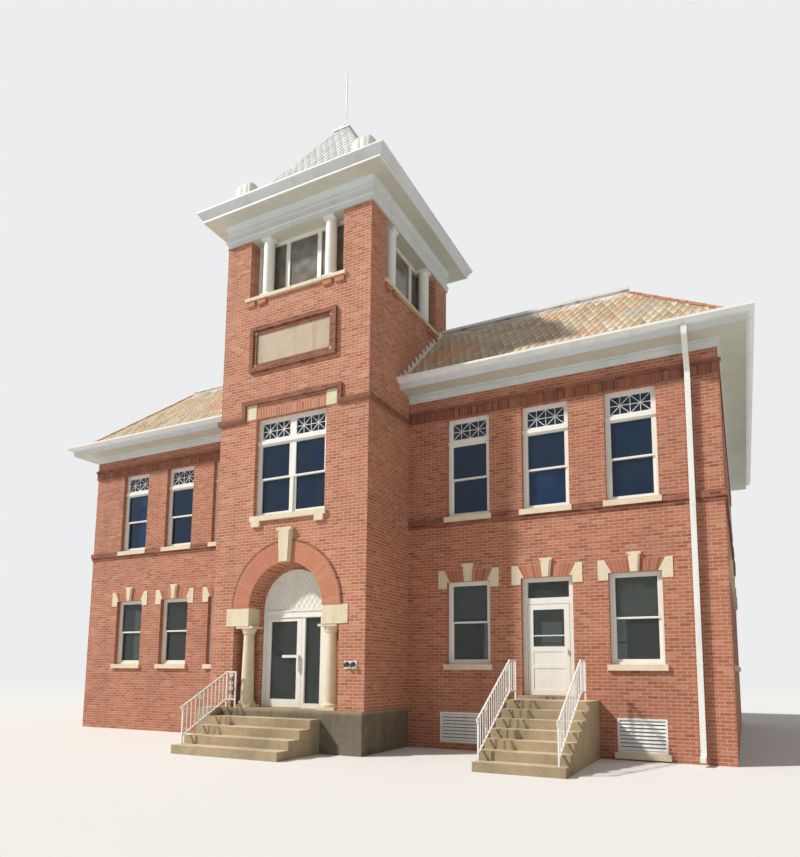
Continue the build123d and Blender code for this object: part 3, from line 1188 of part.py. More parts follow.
with BuildPart() as basement_vents:
    with Locations(*vent_places):
        half = VENT_W / 2
        top = VENT_SILL_Z + VENT_H
        block(-half, half, 0, VENT_D, VENT_SILL_Z, top)
        block(-half + VENT_RIM, half - VENT_RIM, -SLICE, VENT_D + SLICE,
              VENT_SILL_Z + VENT_RIM, top - VENT_RIM, Mode.SUBTRACT)
        pitch = (VENT_H - 2 * VENT_RIM) / LOUVRE_COUNT
        for n in range(LOUVRE_COUNT):
            low = VENT_SILL_Z + VENT_RIM + (n + LOUVRE_FOOT) * pitch
            block(-half + VENT_RIM, half - VENT_RIM, LOUVRE_SET, LOUVRE_SET + LOUVRE_D, low, low + pitch * LOUVRE_SHARE)
finish(basement_vents, "basement_vents")

with BuildPart() as wall_lamp:
    with Locations((LAMP_X, TOWER_FRONT - LAMP_D / 2, LAMP_Z)):
        Box(LAMP_W, LAMP_D, LAMP_H)
finish(wall_lamp, "wall_lamp")

# Belfry

with BuildPart() as belfry_columns:
    shaft_h = TOWER_TOP_Z - BELFRY_SILL_Z
    with Locations(*tower_face_places):
        with Locations((-BELFRY_COLUMN_X, BELFRY_COLUMN_SET, 0), (BELFRY_COLUMN_X, BELFRY_COLUMN_SET, 0)):
            with Locations((0, 0, BELFRY_SILL_Z + shaft_h / 2)):
                Cylinder(BELFRY_COLUMN_R, shaft_h)
            half_cap = BELFRY_CAP_H / 2
            with Locations((0, 0, BELFRY_SILL_Z + half_cap), (0, 0, TOWER_TOP_Z - half_cap)):
                Box(BELFRY_CAP_W, BELFRY_CAP_W, BELFRY_CAP_H)
finish(belfry_columns, "belfry_columns")


def belfry_bays():
    """The three glass bays of a belfry window."""
    edge = BELFRY_HALF_W - BELFRY_RAIL
    half = BELFRY_MULLION_W / 2
    return [(-edge, -BELFRY_MULLION_X - half), (-BELFRY_MULLION_X + half, BELFRY_MULLION_X - half),
            (BELFRY_MULLION_X + half, edge)]


with BuildPart() as belfry_window_frames:
    with Locations(*tower_face_places):
        block(-BELFRY_HALF_W, BELFRY_HALF_W, BELFRY_SASH_SET, BELFRY_SASH_BACK, BELFRY_SILL_Z, TOWER_TOP_Z)
        for left, right in belfry_bays():
            block(left, right, BELFRY_SASH_SET - SLICE, BELFRY_SASH_BACK + SLICE,
                  BELFRY_SILL_Z + BELFRY_RAIL, TOWER_TOP_Z - BELFRY_RAIL, Mode.SUBTRACT)
finish(belfry_window_frames, "belfry_window_frames")

with BuildPart() as belfry_glass:
    with Locations(*tower_face_places):
        for left, right in belfry_bays():
            pane = BELFRY_SASH_SET + BELFRY_SASH_D / 2
            block(left, right, pane, pane + GLASS_T,
                  BELFRY_SILL_Z + BELFRY_RAIL, TOWER_TOP_Z - BELFRY_RAIL)
finish(belfry_glass, "belfry_glass")

# Tower cornice, roof and finial

with BuildPart() as tower_cornice:
    frieze_z = TOWER_TOP_Z + ARCHITRAVE_H
    bed_z = frieze_z + TOWER_FRIEZE_H
    tower_ring(ARCHITRAVE_PROUD, -WALL_T, TOWER_TOP_Z, frieze_z)
    tower_ring(TOWER_FRIEZE_PROUD, -WALL_T, frieze_z, bed_z)
    tower_ring(TOWER_FRIEZE_PROUD, -WALL_T, bed_z, CORNICE_Z, TOWER_BED_PROUD)
    tower_ring(CORNICE_OVERHANG, -WALL_T, CORNICE_Z, CROWN_Z, CROWN_OVERHANG)
    block(-TOWER_INNER_X, TOWER_INNER_X, TOWER_INNER_FRONT, TOWER_INNER_BACK, frieze_z, frieze_z + CEILING_T)
finish(tower_cornice, "tower_cornice")


def spire(half_w, foot_z, tip_z, mode=Mode.ADD):
    """A square pyramid over the tower: two crossed gables where they overlap."""
    near = TOWER_MID_Y - half_w
    far = TOWER_MID_Y + half_w
    with BuildPart(mode=Mode.PRIVATE) as body:
        plate(Plane((0, far, 0), x_dir=(1, 0, 0), z_dir=(0, -1, 0)),
              [(-half_w, foot_z), (half_w, foot_z), (0, tip_z)], 2 * half_w)
        plate(Plane((-half_w, 0, 0), x_dir=(0, 1, 0), z_dir=(1, 0, 0)),
              [(near, foot_z), (far, foot_z), (TOWER_MID_Y, tip_z)], 2 * half_w, Mode.INTERSECT)
    add(body.part, mode=mode)


def arched_vault(plane, mode):
    """One arched vault of a corner dome, drawn across and run through it."""
    rise = DOME_TOP_Z - DOME_SPRING_Z
    shoulder = (DOME_SHOULDER * DOME_HALF_W, DOME_SPRING_Z + DOME_SHOULDER * rise)
    with BuildSketch(plane) as arch:
        with BuildLine():
            Polyline((-DOME_HALF_W, DOME_SPRING_Z), (-DOME_HALF_W, CROWN_Z), (DOME_HALF_W, CROWN_Z),
                     (DOME_HALF_W, DOME_SPRING_Z))
            ThreePointArc((DOME_HALF_W, DOME_SPRING_Z), shoulder, (0, DOME_TOP_Z))
            ThreePointArc((0, DOME_TOP_Z), (-shoulder[0], shoulder[1]), (-DOME_HALF_W, DOME_SPRING_Z))
        make_face()
    extrude(arch.sketch, amount=2 * DOME_HALF_W, mode=mode)


cap_z = SPIRE_TOP_Z - CAP_HALF_W * SPIRE_H / SPIRE_HALF_W * CAP_SINK
with BuildPart() as tower_roof:
    spire(SPIRE_HALF_W, CROWN_Z, SPIRE_TOP_Z)
    for side in (-1, 1):
        for end in (-1, 1):
            x = side * DOME_OFFSET
            y = TOWER_MID_Y + end * DOME_OFFSET
            with BuildPart(mode=Mode.PRIVATE) as dome:
                arched_vault(Plane((x, y + DOME_HALF_W, 0), x_dir=(1, 0, 0), z_dir=(0, -1, 0)), Mode.ADD)
                arched_vault(Plane((x - DOME_HALF_W, y, 0), x_dir=(0, 1, 0), z_dir=(1, 0, 0)), Mode.INTERSECT)
            add(dome.part)
    spire(SPIRE_HALF_W - SPIRE_SKIN, CROWN_Z, SPIRE_TOP_Z - SPIRE_SKIN * SPIRE_H / SPIRE_HALF_W, Mode.SUBTRACT)
    block(-SPIRE_HALF_W, SPIRE_HALF_W, TOWER_MID_Y - SPIRE_HALF_W, TOWER_MID_Y + SPIRE_HALF_W,
          cap_z, SPIRE_TOP_Z + SLICE, Mode.SUBTRACT)
finish(tower_roof, "tower_roof")

with BuildPart() as roof_finial:
    block(-CAP_HALF_W, CAP_HALF_W, TOWER_MID_Y - CAP_HALF_W, TOWER_MID_Y + CAP_HALF_W, cap_z, cap_z + CAP_H)
    small = CAP_HALF_W / 2
    block(-small, small, TOWER_MID_Y - small, TOWER_MID_Y + small, cap_z + CAP_H, cap_z + 3 * CAP_H)
    rod_z = cap_z + 3 * CAP_H
    with Locations((0, TOWER_MID_Y, (rod_z + FINIAL_TOP_Z) / 2)):
        Cylinder(FINIAL_R, FINIAL_TOP_Z - rod_z)
finish(roof_finial, "roof_finial")
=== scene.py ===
import math

import bmesh
import bpy
from mathutils import Matrix, Vector


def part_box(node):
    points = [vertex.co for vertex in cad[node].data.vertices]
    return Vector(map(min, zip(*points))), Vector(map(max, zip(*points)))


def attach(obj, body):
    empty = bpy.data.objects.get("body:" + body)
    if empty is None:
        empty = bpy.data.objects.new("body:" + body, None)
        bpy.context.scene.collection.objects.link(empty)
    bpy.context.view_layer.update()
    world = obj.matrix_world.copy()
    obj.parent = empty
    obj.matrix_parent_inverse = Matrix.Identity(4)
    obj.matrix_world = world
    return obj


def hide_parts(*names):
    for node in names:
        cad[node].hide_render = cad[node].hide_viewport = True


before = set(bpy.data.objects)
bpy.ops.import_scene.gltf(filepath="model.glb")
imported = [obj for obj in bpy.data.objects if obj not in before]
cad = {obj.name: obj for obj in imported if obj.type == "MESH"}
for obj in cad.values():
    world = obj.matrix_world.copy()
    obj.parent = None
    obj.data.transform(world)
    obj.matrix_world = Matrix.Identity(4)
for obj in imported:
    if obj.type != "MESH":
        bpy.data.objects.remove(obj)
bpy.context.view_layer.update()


# Wing walls of pressed red brick in tan mortar, laid in running bond.
# Each course is 70 mm high with its joint, and each brick 213 mm long.
# The bricks differ in firing, and rain has darkened the walls in streaks.

def shade(red, green, blue):
    """A colour measured in daylight values from 0 to 255, made linear."""
    parts = [part / 255 for part in (red, green, blue)]
    return tuple(p / 12.92 if p <= 0.04045 else ((p + 0.055) / 1.055) ** 2.4 for p in parts) + (1.0,)


def feed(node, values):
    """Give a node's inputs their plain values and links."""
    for key, value in values.items():
        if isinstance(value, bpy.types.NodeSocket):
            node.id_data.links.new(value, node.inputs[key])
        else:
            node.inputs[key].default_value = value
    return node


def add_node(tree, kind, values=None, **settings):
    """Put one node in a tree, with its settings and what feeds it."""
    node = tree.nodes.new(kind)
    for setting, value in settings.items():
        setattr(node, setting, value)
    return feed(node, values or {})


def node_on(kind, values, **settings):
    """Put one node in the tree that its values come from."""
    tree = next(value.id_data for value in values.values() if isinstance(value, bpy.types.NodeSocket))
    return add_node(tree, kind, values, **settings)


def reckon(operation, *values):
    """One sum on values that change over the surface."""
    return node_on("ShaderNodeMath", dict(enumerate(values)), operation=operation).outputs[0]


def product(first, *others):
    """Values multiplied together."""
    for other in others:
        first = reckon("MULTIPLY", first, other)
    return first


def colour_over(amount, under, over, blend_type="MIX"):
    """One colour laid over another by a mask."""
    sockets = {0: amount, 6: under, 7: over}
    return node_on("ShaderNodeMix", sockets, data_type="RGBA", blend_type=blend_type).outputs[2]


def blend(amount, under, over):
    """One value laid over another by a mask."""
    return node_on("ShaderNodeMix", {0: amount, 2: under, 3: over}, data_type="FLOAT").outputs[0]


def between(value, low, high, first=0.0, last=1.0):
    """A soft step from one height of a value to another."""
    sockets = {0: value, 1: low, 2: high, 3: first, 4: last}
    return node_on("ShaderNodeMapRange", sockets, interpolation_type="SMOOTHSTEP").outputs[0]


def within(value, low, high):
    """A mask of the values between two limits."""
    return product(reckon("GREATER_THAN", value, low), reckon("LESS_THAN", value, high))


def to_edge(part):
    """How far a part of a length is from its nearer end."""
    return reckon("MINIMUM", part, reckon("SUBTRACT", 1.0, part))


def tones(amount, stops):
    """A colour chosen from a row of tones."""
    ramp = node_on("ShaderNodeValToRGB", {0: amount})
    row = ramp.color_ramp.elements
    while len(row) < len(stops):
        row.new(0.5)
    for element, (place, colour) in zip(row, stops):
        element.position = place
        element.color = colour
    return ramp.outputs[0]


def parts_of(vector):
    """The three parts of a vector."""
    return node_on("ShaderNodeSeparateXYZ", {0: vector}).outputs


def vector_of(*parts):
    """A vector made from its parts."""
    return node_on("ShaderNodeCombineXYZ", dict(enumerate(parts))).outputs[0]


def own_place(tree):
    """Where a point lies on the model, in metres."""
    return add_node(tree, "ShaderNodeTexCoord").outputs["Object"]


def own_facing(tree):
    """Which way the surface faces, in three parts."""
    return parts_of(add_node(tree, "ShaderNodeNewGeometry").outputs["Normal"])


def stretched(where, scale):
    """Places drawn out or pressed together along each axis."""
    return node_on("ShaderNodeMapping", {"Vector": where, "Scale": scale}).outputs[0]


def cloud(where, scale, detail=4.0, rough=0.6):
    """Soft random clouds over the surface."""
    sockets = {"Vector": where, "Scale": scale, "Detail": detail, "Roughness": rough}
    return node_on("ShaderNodeTexNoise", sockets).outputs["Fac"]


def chance_of(*numbers):
    """Three chances that are the same all over one brick."""
    noise = node_on("ShaderNodeTexWhiteNoise", {"Vector": vector_of(*numbers)}, noise_dimensions="3D")
    return parts_of(noise.outputs["Color"])


def new_effect(name, inputs, outputs):
    """A shader effect with named inputs and outputs, shared by several finishes."""
    tree = bpy.data.node_groups.new(name, "ShaderNodeTree")
    for label, value in inputs.items():
        tree.interface.new_socket(label, in_out="INPUT", socket_type="NodeSocketFloat").default_value = value
    for label in outputs:
        tree.interface.new_socket(label, in_out="OUTPUT", socket_type="NodeSocketFloat")
    return tree, add_node(tree, "NodeGroupInput").outputs, add_node(tree, "NodeGroupOutput")


def placed(tree, effect, **values):
    """Place a shared effect in a finish and give back its outputs."""
    values = {label.replace("_", " ").title(): value for label, value in values.items()}
    return add_node(tree, "ShaderNodeGroup", values, node_tree=effect).outputs


def brick_face(to_joint, joint):
    """A mask of the bricks' faces, from how far a point is from the nearest joint's middle."""
    return between(to_joint, product(joint, 0.5), product(joint, 0.9))


BRICK_PARTS = ("Brick", "Tint", "Second Tint", "Height")

# Plain courses, each shifted by half a brick from the one below.
courses, given, made = new_effect(
    "brick courses",
    {"Brick Length": 0.213, "Course Height": 0.070, "Joint": 0.010, "Bond": 0.5, "First Course": 0.0},
    BRICK_PARTS,
)
place = parts_of(own_place(courses))
sideways = reckon("GREATER_THAN", reckon("ABSOLUTE", own_facing(courses)[0]), 0.6)
along = blend(sideways, place[0], place[1])
rise = reckon("DIVIDE", reckon("SUBTRACT", place[2], given["First Course"]), given["Course Height"])
course = reckon("FLOOR", rise)
run = reckon("ADD", reckon("DIVIDE", along, given["Brick Length"]), product(course, given["Bond"]))
to_bed = product(to_edge(reckon("FRACT", rise)), given["Course Height"])
to_end = product(to_edge(reckon("FRACT", run)), given["Brick Length"])
face = brick_face(reckon("MINIMUM", to_bed, to_end), given["Joint"])
chance = chance_of(reckon("FLOOR", run), course, sideways)
relief = product(face, reckon("ADD", 0.8, product(chance[2], 0.2)))
feed(made, {"Brick": face, "Tint": chance[0], "Second Tint": chance[1], "Height": relief})

# Flat arches over the lower windows, whose bricks fan out from a point below.
fans, given, made = new_effect(
    "flat arch bricks",
    {"Origin": 0.0, "First": 3.59, "Last": 7.19, "Spacing": 1.80, "Sideways": 0.0, "Head": 3.715,
     "Rise": 0.267, "Half Width": 0.60, "Brick Width": 0.0745, "Depth": 1.30, "Joint": 0.006},
    ("Inside", *BRICK_PARTS),
)
place = parts_of(own_place(fans))
along = blend(given["Sideways"], place[0], place[1])
along = reckon("ABSOLUTE", reckon("SUBTRACT", along, given["Origin"]))
bay = reckon("ADD", reckon("DIVIDE", reckon("SUBTRACT", along, given["First"]), given["Spacing"]), 0.5)
across = product(reckon("SUBTRACT", reckon("FRACT", bay), 0.5), given["Spacing"])
up = reckon("SUBTRACT", place[2], given["Head"])
in_bay = reckon("LESS_THAN", reckon("ABSOLUTE", across), given["Half Width"])
in_row = reckon("LESS_THAN", along, reckon("ADD", given["Last"], given["Half Width"]))
inside = product(in_bay, reckon("GREATER_THAN", bay, 0.0), in_row, within(up, 0.0, given["Rise"]))
spread = reckon("DIVIDE", across, reckon("ADD", up, given["Depth"]))
turn = reckon("DIVIDE", product(spread, given["Depth"]), given["Brick Width"])
face = brick_face(product(to_edge(reckon("FRACT", turn)), given["Brick Width"]), given["Joint"])
chance = chance_of(reckon("FLOOR", turn), reckon("FLOOR", bay))
feed(made, {"Inside": inside, "Brick": face, "Tint": chance[0], "Second Tint": chance[1], "Height": face})

# Rain streaks, patches of soot and fine grain, for all that stands outdoors.
weather, given, made = new_effect(
    "rain and soot", {"Size": 1.0, "Streaks": 0.5}, ("Soot", "Grain", "Patches"))
spot = own_place(weather)
streaks = between(cloud(stretched(spot, (2.2, 2.2, 0.22)), given["Size"], 6.0, 0.65), 0.48, 0.72)
patches = between(cloud(spot, product(given["Size"], 0.45), 5.0, 0.6), 0.38, 0.66)
grain = cloud(spot, product(given["Size"], 60.0), 3.0, 0.7)
feed(made, {"Soot": blend(given["Streaks"], patches, streaks), "Grain": grain, "Patches": patches})


def new_finish(name, rough):
    """A material with its tree and its shader."""
    finish = bpy.data.materials.new(name)
    finish.use_nodes = True
    shader = feed(finish.node_tree.nodes["Principled BSDF"], {"Roughness": rough})
    return finish, finish.node_tree, shader


def coat(shader, colour, relief, strength, depth):
    """Give a finish its colour, and raise its surface by a height map."""
    bump = node_on("ShaderNodeBump", {"Height": relief, "Strength": strength, "Distance": depth})
    feed(shader, {"Base Color": colour, "Normal": bump.outputs[0]})


def sooted(dirt, amount, under, over):
    """A colour darkened where the soot lies."""
    return colour_over(product(dirt["Soot"], amount), under, over)


def brick_colour(tree, bricks, brick_tones, mortar, soot_amount):
    """Bricks of several firings in their mortar, under rain streaks and soot."""
    dirt = placed(tree, weather, size=1.0, streaks=0.55)
    colour = tones(bricks["Tint"], brick_tones)
    speckle = between(dirt["Grain"], 0.3, 0.75, 0.78, 1.16)
    colour = colour_over(1.0, colour, speckle, "MULTIPLY")
    pale = between(bricks["Second Tint"], 0.86, 0.97, 0.0, 0.3)
    colour = colour_over(pale, colour, mortar)
    colour = colour_over(bricks["Brick"], mortar, colour)
    return sooted(dirt, soot_amount, colour, shade(92, 62, 50))


BRICK_RELIEF = 0.7
BRICK_DEPTH = 0.008


def brick_coat(tree, shader, bricks, brick_tones, mortar, soot_amount):
    """Give a wall its brickwork."""
    colour = brick_colour(tree, bricks, brick_tones, mortar, soot_amount)
    coat(shader, colour, bricks["Height"], BRICK_RELIEF, BRICK_DEPTH)


def merged(amount, under, over):
    """One brick pattern laid over another by a mask."""
    return {label: blend(amount, under[label], over[label]) for label in BRICK_PARTS}


def dress(names, finish):
    """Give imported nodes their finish."""
    for name in names:
        for holder in cad[name].material_slots:
            holder.material = finish


WING_BRICK_TONES = [(0.0, shade(156, 90, 68)), (0.25, shade(178, 108, 84)), (0.55, shade(188, 117, 92)),
                    (0.8, shade(172, 100, 76)), (1.0, shade(198, 134, 108))]
WING_MORTAR = shade(196, 160, 132)


def wing_wall(name, nodes, **spacing):
    """The finish of the walls that share one spacing of windows."""
    finish, tree, shader = new_finish(name, 0.86)
    fan = placed(tree, fans, **spacing)
    bricks = merged(fan["Inside"], placed(tree, courses), fan)
    brick_coat(tree, shader, bricks, WING_BRICK_TONES, WING_MORTAR, 0.32)
    dress(nodes, finish)


wing_wall("front_brick",
          ["left_front_wall", "right_front_inner_wall", "right_front_outer_wall", "side_door_wall"])
wing_wall("side_brick", ["left_side_wall", "right_side_wall"],
          origin=5.875, first=1.325, last=3.975, spacing=2.65, sideways=1.0)
wing_wall("rear_brick", ["rear_wall"], first=0.0, last=7.20, spacing=2.40)

# Tower walls of the same brick, a lighter and more orange firing.
# A course of standing bricks closes the head of the double window.
STANDING_FOOT = 7.575
STANDING_HEIGHT = 0.2150
STANDING_WIDTH = 0.0745
TOWER_OPENING = 0.99
TOWER_BRICK_TONES = [(0.0, shade(168, 100, 74)), (0.3, shade(188, 117, 90)), (0.6, shade(198, 127, 99)),
                     (0.85, shade(182, 109, 82)), (1.0, shade(206, 145, 118))]
TOWER_MORTAR = shade(206, 172, 145)


def with_standing_bricks(tree, reach):
    """Plain courses, with one course of bricks on end as far as it reaches from the middle."""
    place = parts_of(own_place(tree))
    standing = product(within(place[2], STANDING_FOOT, STANDING_FOOT + STANDING_HEIGHT),
                       reckon("LESS_THAN", reckon("ABSOLUTE", place[0]), reach))
    on_end = placed(tree, courses, brick_length=STANDING_WIDTH, course_height=STANDING_HEIGHT, bond=0.0,
                    first_course=STANDING_FOOT)
    return merged(standing, placed(tree, courses), on_end)


tower_brick, tree, shader = new_finish("tower_brick", 0.86)
brick_coat(tree, shader, with_standing_bricks(tree, TOWER_OPENING), TOWER_BRICK_TONES, TOWER_MORTAR, 0.24)
dress(["left_entrance_pier", "right_entrance_pier", "entrance_arch_wall", "tower_front_wall",
       "tower_left_wall", "tower_right_wall", "tower_rear_wall"], tower_brick)

# Projecting brick bands: headers under the upper sills, and bricks standing
# on end over the upper windows. They are painted darker than the walls, as the
# shade from the eaves, and are bonded into the wall behind.
PAST_THE_WALLS = 10.0
BAND_TONES = [(0.0, shade(112, 60, 46)), (0.4, shade(140, 78, 60)), (0.75, shade(154, 88, 68)),
              (1.0, shade(168, 104, 82))]
BAND_MORTAR = shade(150, 112, 88)
band_brick, tree, shader = new_finish("band_brick", 0.88)
# Painted shade: the band's dark tones stand in for the shade under the eaves.
brick_coat(tree, shader, with_standing_bricks(tree, PAST_THE_WALLS), BAND_TONES, BAND_MORTAR, 0.4)
dress(["brick_bands"], band_brick)

# Arch ring, label mould and plaque surround of gauged brick on the tower.
# The ring's long bricks stand radially round the arch, inside one darker
# course that follows it. The mouldings are of a dark brown brick.
ARCH_CENTRE_Z = 3.11
ARCH_RADIUS = 1.00
RING_BRICK = 0.405
RING_EDGE = 1.455
RING_BRICKS_PER_RADIAN = 15.6
CORBEL_FOOT = 10.3
RING_MORTAR = shade(196, 150, 120)
MOULD_TONES = [(0.0, shade(112, 62, 46)), (0.4, shade(136, 78, 58)), (0.75, shade(148, 86, 64)),
               (1.0, shade(160, 98, 76))]
trim_brick, tree, shader = new_finish("trim_brick", 0.86)
spot = parts_of(own_place(tree))
up = reckon("SUBTRACT", spot[2], ARCH_CENTRE_Z)
reach = reckon("SQRT", reckon("ADD", product(spot[0], spot[0]), product(up, up)))
row = reckon("DIVIDE", reckon("SUBTRACT", reach, ARCH_RADIUS), RING_BRICK)
turn = product(reckon("ARCTAN2", up, spot[0]), RING_BRICKS_PER_RADIAN)
turn = reckon("ADD", turn, product(reckon("FLOOR", row), 0.5))
face = product(between(to_edge(reckon("FRACT", turn)), 0.035, 0.08),
               between(to_edge(reckon("FRACT", row)), 0.008, 0.016))
chance = chance_of(reckon("FLOOR", turn), reckon("FLOOR", row))
tint = between(chance[0], 0.0, 1.0, 0.4, 0.7)
ring = {"Brick": face, "Tint": tint, "Second Tint": chance[1], "Height": face}
in_ring = reckon("LESS_THAN", reach, RING_EDGE)
plain = placed(tree, courses)
bricks = merged(in_ring, plain, ring)
pale_bricks = brick_colour(tree, bricks, TOWER_BRICK_TONES, RING_MORTAR, 0.2)
dark_bricks = brick_colour(tree, plain, MOULD_TONES, BAND_MORTAR, 0.35)
pale = reckon("MAXIMUM", in_ring, reckon("GREATER_THAN", spot[2], CORBEL_FOOT))
coat(shader, colour_over(pale, dark_bricks, pale_bricks), bricks["Height"], BRICK_RELIEF, BRICK_DEPTH)
dress(["tower_brick_trim"], trim_brick)

# Dressed limestone: sills, lintel stones, imposts, keystone and columns.
# The stone is cut smooth and set in mortar. Its face is cream, with fine
# grain, and grey where the rain runs down.

def weathered(name, rough, size, streaks):
    """A material with its tree and its shader, and the marks of rain and soot on it."""
    finish, tree, shader = new_finish(name, rough)
    return finish, tree, shader, placed(tree, weather, size=size, streaks=streaks)


def clouded(tree, scale, detail, *colours):
    """Three colours that drift into each other."""
    return tones(cloud(own_place(tree), scale, detail, 0.7), list(zip((0.3, 0.5, 0.7), colours)))


def grained(dirt, low, amount, under, over):
    """A colour speckled by the grain."""
    return colour_over(between(dirt["Grain"], low, 0.8, 0.0, amount), under, over)


limestone, tree, shader, dirt = weathered("limestone", 0.75, 1.6, 0.6)
stone = clouded(tree, 3.0, 6.0, shade(222, 206, 174), shade(230, 217, 190), shade(214, 198, 168))
stone = grained(dirt, 0.35, 0.35, stone, shade(196, 180, 150))
stone = sooted(dirt, 0.3, stone, shade(140, 128, 108))
coat(shader, stone, dirt["Grain"], 0.25, 0.003)
dress(["window_sills", "lintel_stones", "entrance_stones", "entrance_columns"], limestone)

# Stone plaque and its bed, of a browner stone that has weathered unevenly.
# Its face is rubbed smooth and bare, and sooted in streaks and patches.
plaque_stone, tree, shader, dirt = weathered("plaque_stone", 0.8, 1.3, 0.8)
stone = clouded(tree, 2.2, 6.0, shade(186, 168, 146), shade(200, 182, 160), shade(178, 160, 138))
stone = grained(dirt, 0.35, 0.4, stone, shade(158, 138, 116))
stone = sooted(dirt, 0.4, stone, shade(116, 102, 88))
coat(shader, stone, dirt["Grain"], 0.3, 0.003)
dress(["stone_plaque"], plaque_stone)

# Concrete of both flights of steps, cast in boards.
# Its treads are painted pale and tan as the light that falls on them, and it is stained on the upright faces.
concrete, tree, shader, dirt = weathered("concrete", 0.9, 1.3, 0.35)
cast = clouded(tree, 2.4, 8.0, shade(160, 140, 110), shade(182, 162, 130), shade(168, 150, 120))
# Painted light: faces that look upwards are coloured paler, as the light on the treads.
painted_light = between(own_facing(tree)[2], 0.4, 0.9, 0.0, 0.75)
cast = colour_over(painted_light, cast, shade(222, 206, 176))
cast = grained(dirt, 0.4, 0.45, cast, shade(132, 116, 92))
cast = sooted(dirt, 0.5, cast, shade(84, 78, 66))
coat(shader, cast, dirt["Grain"], 0.4, 0.006)
dress(["main_steps", "side_steps"], concrete)

# Base of the tower, cast in concrete under its walls.
# It is dark grey, with soot, and painted pale along its top edge as the light that falls there.
BASE_TOP = 0.88
BASE_EDGE = 0.10
base_concrete, tree, shader, dirt = weathered("base_concrete", 0.92, 1.1, 0.7)
cast = clouded(tree, 3.0, 8.0, shade(92, 86, 74), shade(124, 114, 96), shade(104, 98, 86))
# Painted light: the top edge is coloured pale, as the light that falls on it.
painted_light = between(parts_of(own_place(tree))[2], BASE_TOP - BASE_EDGE, BASE_TOP, 0.0, 0.75)
cast = colour_over(painted_light, cast, shade(176, 156, 120))
cast = sooted(dirt, 0.6, cast, shade(52, 50, 46))
coat(shader, cast, dirt["Grain"], 0.5, 0.008)
dress(["tower_base"], base_concrete)

# Painted joinery: casings, sashes, doors and belfry columns.
# White oil paint on pine, brushed along the boards, chalky and stained by rain.
white_paint, tree, shader, dirt = weathered("white_paint", 0.5, 2.0, 0.7)
brush = cloud(stretched(own_place(tree), (3.0, 3.0, 26.0)), 6.0, 3.0, 0.5)
paint = colour_over(between(brush, 0.3, 0.7, 0.0, 0.5), shade(236, 235, 228), shade(222, 220, 210))
paint = sooted(dirt, 0.16, paint, shade(150, 142, 122))
coat(shader, paint, brush, 0.12, 0.002)
feed(shader, {"Roughness": between(dirt["Soot"], 0.0, 1.0, 0.42, 0.65)})
dress(["entrance_door_frame", "main_door", "side_door_frame", "side_door", "front_window_frames",
       "side_and_rear_window_frames", "belfry_window_frames", "belfry_columns"], white_paint)

# Boxed eaves and the tower's cornice, of painted boards.
# The faces are painted a cool white as the skylight they take in shade, and the
# undersides keep the paint's cream.
cream_paint, tree, shader, dirt = weathered("cream_paint", 0.55, 1.4, 0.5)
# Painted light: all faces but the undersides are coloured cool, as skylight in shade.
sky_lit_faces = between(own_facing(tree)[2], -0.92, -0.6)
paint = colour_over(sky_lit_faces, shade(208, 208, 192), shade(218, 223, 226))
paint = grained(dirt, 0.4, 0.25, paint, shade(186, 184, 174))
paint = sooted(dirt, 0.3, paint, shade(142, 138, 126))
coat(shader, paint, dirt["Grain"], 0.1, 0.002)
dress(["main_cornice", "tower_cornice"], cream_paint)

# White sheet metal: gutters, downspout, flashing, vents, finial, lamp plate.
# The sheet is folded and painted, and shows dull streaks and a little rust.
white_metal, tree, shader, dirt = weathered("white_metal", 0.42, 2.4, 0.8)
rust = between(cloud(own_place(tree), 7.0, 8.0, 0.75), 0.62, 0.74, 0.0, 0.7)
sheet = sooted(dirt, 0.25, shade(232, 233, 230), shade(150, 148, 138))
sheet = colour_over(rust, sheet, shade(162, 118, 84))
coat(shader, sheet, dirt["Patches"], 0.15, 0.003)
feed(shader, {"Roughness": between(dirt["Soot"], 0.0, 1.0, 0.34, 0.6)})
dress(["gutters", "downspout", "tower_flashing", "roof_finial", "basement_vents", "wall_lamp"], white_metal)

# Curb of the flat deck: a painted cap over a strip of bare weathered lead,
# with a painted board at its foot.
DECK_STRIP_FOOT = 10.800
DECK_STRIP_TOP = 10.875
deck_sheet, tree, shader, dirt = weathered("deck_sheet", 0.55, 1.8, 0.6)
spot = own_place(tree)
strip = within(parts_of(spot)[2], DECK_STRIP_FOOT, DECK_STRIP_TOP)
sheet = sooted(dirt, 0.35, shade(226, 226, 222), shade(140, 134, 120))
dull = between(cloud(spot, 3.5, 8.0, 0.7), 0.5, 0.62)
lead = colour_over(dull, shade(150, 146, 146), shade(74, 68, 64))
coat(shader, colour_over(product(strip, 0.85), sheet, lead), dirt["Patches"], 0.2, 0.004)
dress(["roof_deck"], deck_sheet)

# Wrought iron railings, welded from plain bars.
# They are painted white, with rust at the welds.
white_iron, tree, shader = new_finish("white_iron", 0.45)
rust = between(cloud(own_place(tree), 14.0, 8.0, 0.8), 0.6, 0.7, 0.0, 0.8)
coat(shader, colour_over(rust, shade(230, 230, 226), shade(140, 92, 62)), rust, 0.3, 0.001)
dress(["main_railing", "side_left_railing", "side_right_railing"], white_iron)

# Floors of worn boards, nailed side by side.
# They are seen only through the glass.
BOARD_WIDTH = 0.12
floor_boards, tree, shader = new_finish("floor_boards", 0.6)
spot = own_place(tree)
board = reckon("FLOOR", reckon("DIVIDE", parts_of(spot)[1], BOARD_WIDTH))
chance = node_on("ShaderNodeTexWhiteNoise", {"W": board}, noise_dimensions="1D").outputs["Value"]
wood = tones(chance, [(0.0, shade(120, 92, 62)), (0.5, shade(146, 114, 78)), (1.0, shade(104, 80, 54))])
grain = between(cloud(stretched(spot, (1.0, 22.0, 22.0)), 3.0), 0.35, 0.7, 0.0, 0.5)
feed(shader, {"Base Color": colour_over(grain, wood, shade(84, 62, 42))})
dress(["ground_floor", "upper_floor", "attic_floor", "belfry_floor"], floor_boards)
